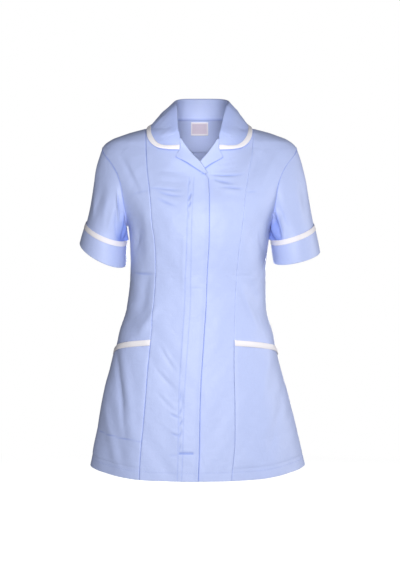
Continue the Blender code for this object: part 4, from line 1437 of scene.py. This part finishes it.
def stitch_beads(line, normal):
    """Short beads along a line: each an eight-sided spindle whose ends dip into the cloth."""
    sizes = bpy.context.scene.tunic_sizes
    step = np.linalg.norm(np.diff(line, axis=0), axis=-1)
    run = np.concatenate([[0.0], np.cumsum(step)])
    pitch = sizes.stitch + 0.0006
    starts = np.arange(0.0, run[-1] - pitch, pitch)

    def at(distance, values):
        return np.stack([np.interp(distance, run, values[:, i]) for i in range(3)], -1)

    share = np.array([0.0, 0.22, 0.78, 1.0])
    distance = starts[:, None] + share * sizes.stitch
    centre = at(distance.reshape(-1), line).reshape(*distance.shape, 3)
    out = unit(at(distance.reshape(-1), normal)).reshape(*distance.shape, 3)
    along = unit(centre[:, -1:] - centre[:, :1])
    out = unit(out - np.sum(out * along, -1, keepdims=True) * along)
    beside = np.cross(along + 0 * out, out)
    radius = sizes.thread / 2 * np.array([0.35, 1.0, 1.0, 0.35])
    lift = sizes.thread / 2 * np.array([-1.1, 0.35, 0.35, -1.1])
    centre = centre + out * lift[:, None]
    turn = np.linspace(0, 2 * np.pi, 6, endpoint=False)
    ring = out[:, :, None] * np.cos(turn)[:, None] + beside[:, :, None] * np.sin(turn)[:, None]
    points = centre[:, :, None] + ring * radius[:, None, None]
    count, rings, sides = points.shape[:3]
    number = np.arange(count * rings * sides).reshape(count, rings, sides)
    nxt = np.roll(number, -1, 2)
    quads = np.stack([number[:, :-1], number[:, 1:], nxt[:, 1:], nxt[:, :-1]], -1).reshape(-1, 4)
    caps = np.concatenate([number[:, 0, [0, 1, 2, 3]], number[:, 0, [0, 3, 4, 5]],
                           number[:, -1, [3, 2, 1, 0]], number[:, -1, [5, 4, 3, 0]]])
    return points.reshape(-1, 3), np.concatenate([quads, caps])


def add_stitches(name, lines):
    """All beads of several lines as one piece. Each line is (points, normals)."""
    points, faces, base = [], [], 0
    for line, normal in lines:
        p, f = stitch_beads(line, normal)
        points.append(p)
        faces.append(f + base)
        base += len(p)
    piece = add_piece(name, np.concatenate(points), np.concatenate(faces), material_of(sewing_thread))


def front_line(side, x, z):
    """A line of points on a finished front, with its lap, creases and waves, and the slope there."""
    theta = theta_of_x(x, z)
    return form(theta, z, lap_height(side, x, z) + front_height(x, z)), form_normal(theta, z)


def creased_line(theta, z, height_of):
    """The same along angles instead of places, where no lap is."""
    x = form_skin(theta, z)[..., 0]
    return form(theta, z, height_of(x, z)), form_normal(theta, z)


class TUNIC_OT_back(bpy.types.Operator):
    """Make the back, with its hem and creases"""
    bl_idname = "tunic.make_back"
    bl_label = "Back"

    def execute(self, context):
        grid, shade = back_grid()
        add_cloth("back_cloth", grid, "blue_twill", ["back"], shade=shade)
        return {"FINISHED"}


class TUNIC_OT_fronts(bpy.types.Operator):
    """Make both fronts, each of a centre and a side panel, and the strip behind the closing edge"""
    bl_idname = "tunic.make_fronts"
    bl_label = "Fronts"

    def execute(self, context):
        for side in SIDES:
            for part, maker in (("front_centre", front_centre_grid), ("front_side", front_side_grid)):
                grid, shade = maker(side)
                if (side == "left") == (part == "front_centre"):
                    grid, shade = grid[:, ::-1], shade[:, ::-1]
                add_cloth(f"{part}_{side}_cloth", grid, "blue_twill", [f"{part}_{side}"], shade=shade)
        add_cloth("fly_strip_cloth", fly_grid(), "blue_twill", ["fly_strip"])
        return {"FINISHED"}


class TUNIC_OT_lapels(bpy.types.Operator):
    """Make both lapels, turned over at the roll line"""
    bl_idname = "tunic.make_lapels"
    bl_label = "Lapels"

    def execute(self, context):
        for side in SIDES:
            add_cloth(f"lapel_{side}_cloth", lapel_grid(side), "blue_twill", [f"lapel_facing_{side}"],
                      wall=DOUBLE_WALL)
        return {"FINISHED"}


class TUNIC_OT_collar(bpy.types.Operator):
    """Make the collar and the binding along its edge"""
    bl_idname = "tunic.make_collar"
    bl_label = "Collar"

    def execute(self, context):
        grid = collar_grid()
        add_cloth("collar_cloth", grid, "blue_twill", ["collar"], wall=DOUBLE_WALL,
                  shade=collar_shade(grid))
        add_cloth("collar_binding", collar_binding_grid(grid), "white_binding", ["collar_trim"])
        return {"FINISHED"}


class TUNIC_OT_sleeves(bpy.types.Operator):
    """Make both sleeves with their turned-back cuffs and bindings"""
    bl_idname = "tunic.make_sleeves"
    bl_label = "Sleeves"

    def execute(self, context):
        for side in SIDES:
            sleeve, cuff = f"sleeve_{side}_cloth", f"cuff_{side}_cloth"
            grid, shade = sleeve_grid(side)
            cuff_grid, binding = cuff_grids(side)
            add_cloth(sleeve, grid, "blue_twill", [f"sleeve_{side}"], closed=True, shade=shade)
            add_cloth(cuff, cuff_grid, "blue_twill", [f"cuff_{side}"], closed=True)
            add_cloth(f"cuff_{side}_binding", binding, "white_binding", [f"cuff_trim_{side}"], closed=True)
        return {"FINISHED"}


class TUNIC_OT_pockets(bpy.types.Operator):
    """Make both hip pockets with their bound mouths"""
    bl_idname = "tunic.make_pockets"
    bl_label = "Pockets"

    def execute(self, context):
        for side in SIDES:
            pocket, shade, binding = pocket_grids(side)
            if side == "right":
                pocket, shade, binding = pocket[:, ::-1], shade[:, ::-1], binding[:, ::-1]
            add_cloth(f"pocket_{side}_cloth", pocket, "blue_twill", [f"pocket_{side}"], shade=shade)
            add_cloth(f"pocket_{side}_binding", binding, "white_binding", [f"pocket_trim_{side}"])
        return {"FINISHED"}


class TUNIC_OT_neck(bpy.types.Operator):
    """Make the facing and the blank label inside the back neck"""
    bl_idname = "tunic.make_neck"
    bl_label = "Back neck"

    def execute(self, context):
        add_cloth("back_neck_facing_cloth", facing_grid()[:, ::-1], "blue_twill", ["back_neck_facing"])
        grid = label_grid()
        down, along = np.meshgrid(*(np.linspace(0, 1, count) for count in grid.shape[:2]), indexing="ij")
        panel = ease((0.5 - np.abs(along - 0.5) - 0.06) / 0.03) * ease((0.40 - np.abs(down - 0.52)) / 0.05)
        add_cloth("label_cloth", grid, "satin_label", ["label"], wall=LABEL_WALL,
                  panel=panel)
        return {"FINISHED"}


class TUNIC_OT_stitches(bpy.types.Operator):
    """Sew the visible rows of stitches: closing edge, fly and hem"""
    bl_idname = "tunic.make_stitches"
    bl_label = "Stitches"

    def execute(self, context):
        z = np.linspace(HEM_FRONT + 0.006, BREAK - UNDER_BREAK, 400)
        edge = read(FRONT_EDGE, "right", z)
        lines = [front_line("right", edge - inward, z) for inward in (EDGE_STITCH, *fly_lines(z))]
        add_stitches("fly_stitches", lines)
        hem = []
        z_line = HEM_FRONT + HEM_STITCH
        for side in SIDES:
            seam = read(PRINCESS, side, z_line)
            edge = read(FRONT_EDGE, side, z_line)
            x = np.linspace(seam, edge, 160)
            hem.append(front_line(side, x, z_line + 0 * x))
            inner, outer = side_edges(side, np.array([z_line]), np.array([z_line + HEM_RISE]))
            theta = np.linspace(inner[0], outer[0], 160)
            level = z_line + hem_rise(z_line) * np.linspace(0, 1, 160)
            hem.append(creased_line(theta, level, front_height))
        theta = np.linspace(SIDE, 2 * np.pi - SIDE, 400)
        hem.append(creased_line(theta, z_line + HEM_RISE + 0 * theta, back_height))
        add_stitches("hem_stitches", hem)
        return {"FINISHED"}


FLOOR_HEIGHT = -1.42
FLOOR_RINGS = np.array([0.4, 0.8, 1.2, 1.6, 2.2, 3.0, 4.0, 8.5])[:, None]
BACKDROP_RADIUS = 9.0
SENSOR = 36.0
# Soft panels of light: where they stand, how large they are and their colour
LIGHTS = {
    "key": ((2.9, 0.45, -0.30), (0.9, 1.4), (1.0, 0.985, 0.96)),
    "front": ((0.02, -1.32, -0.22), (0.6, 0.6), (1.0, 0.99, 0.97)),
    "top": ((0.5, -0.9, 2.0), (0.9, 0.9), (1.0, 1.0, 1.0)),
    "back": ((0.2, 2.9, -0.42), (1.4, 0.6), (0.98, 0.99, 1.0)),
}
# A spot that reaches into the neck: where it stands, what it meets, its beam in degrees and its bulb's radius
NECK_SPOT = {"place": (0.0, -2.6, 0.12), "target": (0.0, 0.05, -0.066), "beam": 2.3, "bulb": 0.06}


def aim_light(name, data, place, target, power, colour):
    """Sets a light at a place and turns it to its target. The camera doesn't see it."""
    data.energy = power
    data.color = colour
    light = bpy.data.objects.new(name, data)
    light.location = place
    away = np.array(place) - np.array(target)
    light.rotation_euler = (np.arctan2(np.hypot(away[0], away[1]), away[2]), 0.0, np.arctan2(away[0], -away[1]))
    light.visible_camera = False
    bpy.context.scene.collection.objects.link(light)


def add_rings(name, rings, ends, maker):
    """A surface through rings of points, closed at the given ends. It lights nothing and mirrors in nothing."""
    number = np.arange(rings.shape[0] * rings.shape[1]).reshape(rings.shape[:2])
    after = np.roll(number, -1, 1)
    faces = np.stack([number[:-1], number[1:], after[1:], after[:-1]], -1).reshape(-1, 4)
    mesh = bpy.data.meshes.new(name)
    mesh.from_pydata(rings.reshape(-1, 3).tolist(), [], faces.tolist() + number[ends].tolist())
    mesh.materials.append(material_of(maker))
    surface = bpy.data.objects.new(name, mesh)
    surface.visible_diffuse = surface.visible_glossy = False
    bpy.context.scene.collection.objects.link(surface)
    return surface


class TUNIC_OT_stage(bpy.types.Operator):
    """Set up the pale floor, the backdrop, the soft lights and the camera"""
    bl_idname = "tunic.make_stage"
    bl_label = "Stage"

    def execute(self, context):
        scene, stage = context.scene, context.scene.tunic_stage
        target = np.array(stage.target)
        data = bpy.data.cameras.new("camera")
        data.sensor_fit = "VERTICAL"
        data.sensor_width = data.sensor_height = SENSOR
        data.lens = stage.lens
        camera = bpy.data.objects.new("camera", data)
        rise = stage.elevation
        camera.location = target + stage.distance * np.array([0.0, -np.cos(rise), np.sin(rise)])
        camera.rotation_euler = (np.pi / 2 - rise, 0.0, 0.0)
        scene.collection.objects.link(camera)
        scene.camera = camera
        turn = np.linspace(0, 2 * np.pi, 64, endpoint=False)
        circle = np.stack([np.cos(turn), np.sin(turn), 0 * turn], -1)
        level = np.array([0.0, 0.0, 1.0])
        disc = FLOOR_RINGS[..., None] * circle + FLOOR_HEIGHT * level
        floor = add_rings("floor", disc, [0], painted_floor)
        far = np.broadcast_to(ease((FLOOR_RINGS - 0.8) / 2.2), disc.shape[:2])
        far_away = floor.data.attributes.new("far", "FLOAT", "POINT")
        far_away.data.foreach_set("value", far.reshape(-1).astype(np.float32))
        rise = np.linspace(-np.pi / 2 + 0.02, np.pi / 2 - 0.02, 25)[:, None, None]
        dome = BACKDROP_RADIUS * (np.cos(rise) * circle + np.sin(rise) * level)
        backdrop = add_rings("backdrop", dome, [0, -1], white_backdrop)
        backdrop.visible_shadow = backdrop.visible_transmission = backdrop.visible_volume_scatter = False
        for name, (place, size, colour) in LIGHTS.items():
            data = bpy.data.lights.new(f"{name}_light", "AREA")
            data.shape = "RECTANGLE"
            data.size, data.size_y = size
            aim_light(f"{name}_light", data, place, target, getattr(stage, name), colour)
        data = bpy.data.lights.new("neck_light", "SPOT")
        data.spot_size, data.spot_blend, data.shadow_soft_size = np.radians(NECK_SPOT["beam"]), 0.7, NECK_SPOT["bulb"]
        aim_light("neck_light", data, NECK_SPOT["place"], NECK_SPOT["target"], stage.neck, (1.0, 0.99, 0.98))
        world = bpy.data.worlds.new("even light")
        world.use_nodes = True
        ground = world.node_tree.nodes["Background"]
        ground.inputs["Color"].default_value = (0.93, 0.95, 1.0, 1.0)
        ground.inputs["Strength"].default_value = stage.sky
        scene.world = world
        scene.view_settings.view_transform = "Standard"
        return {"FINISHED"}


class TUNIC_PT_sidebar(bpy.types.Panel):
    """Lists the tunic's sizes, colours and steps"""
    bl_label = "Work tunic"
    bl_idname = "TUNIC_PT_sidebar"
    bl_space_type = "VIEW_3D"
    bl_region_type = "UI"
    bl_category = "Tunic"

    def draw(self, context):
        for group in (context.scene.tunic_sizes, context.scene.tunic_colours, context.scene.tunic_stage):
            box = self.layout.box()
            for name in group.__annotations__:
                box.prop(group, name)
        for operator in OPERATORS:
            self.layout.operator(operator.bl_idname)


OPERATORS = (
    TUNIC_OT_back, TUNIC_OT_fronts, TUNIC_OT_lapels, TUNIC_OT_collar, TUNIC_OT_sleeves, TUNIC_OT_pockets,
    TUNIC_OT_neck, TUNIC_OT_stitches, TUNIC_OT_stage,
)
CLASSES = (TunicSizes, TunicColours, TunicStage, *OPERATORS, TUNIC_PT_sidebar)


def register():
    for item in CLASSES:
        bpy.utils.register_class(item)
    bpy.types.Scene.tunic_sizes = PointerProperty(type=TunicSizes)
    bpy.types.Scene.tunic_colours = PointerProperty(type=TunicColours)
    bpy.types.Scene.tunic_stage = PointerProperty(type=TunicStage)


def unregister():
    del bpy.types.Scene.tunic_stage
    del bpy.types.Scene.tunic_colours
    del bpy.types.Scene.tunic_sizes
    for item in reversed(CLASSES):
        bpy.utils.unregister_class(item)


def main():
    register()
    bpy.ops.tunic.make_back()
    bpy.ops.tunic.make_fronts()
    bpy.ops.tunic.make_lapels()
    bpy.ops.tunic.make_collar()
    bpy.ops.tunic.make_sleeves()
    bpy.ops.tunic.make_pockets()
    bpy.ops.tunic.make_neck()
    bpy.ops.tunic.make_stitches()
    bpy.ops.tunic.make_stage()


if __name__ == "__main__":
    main()
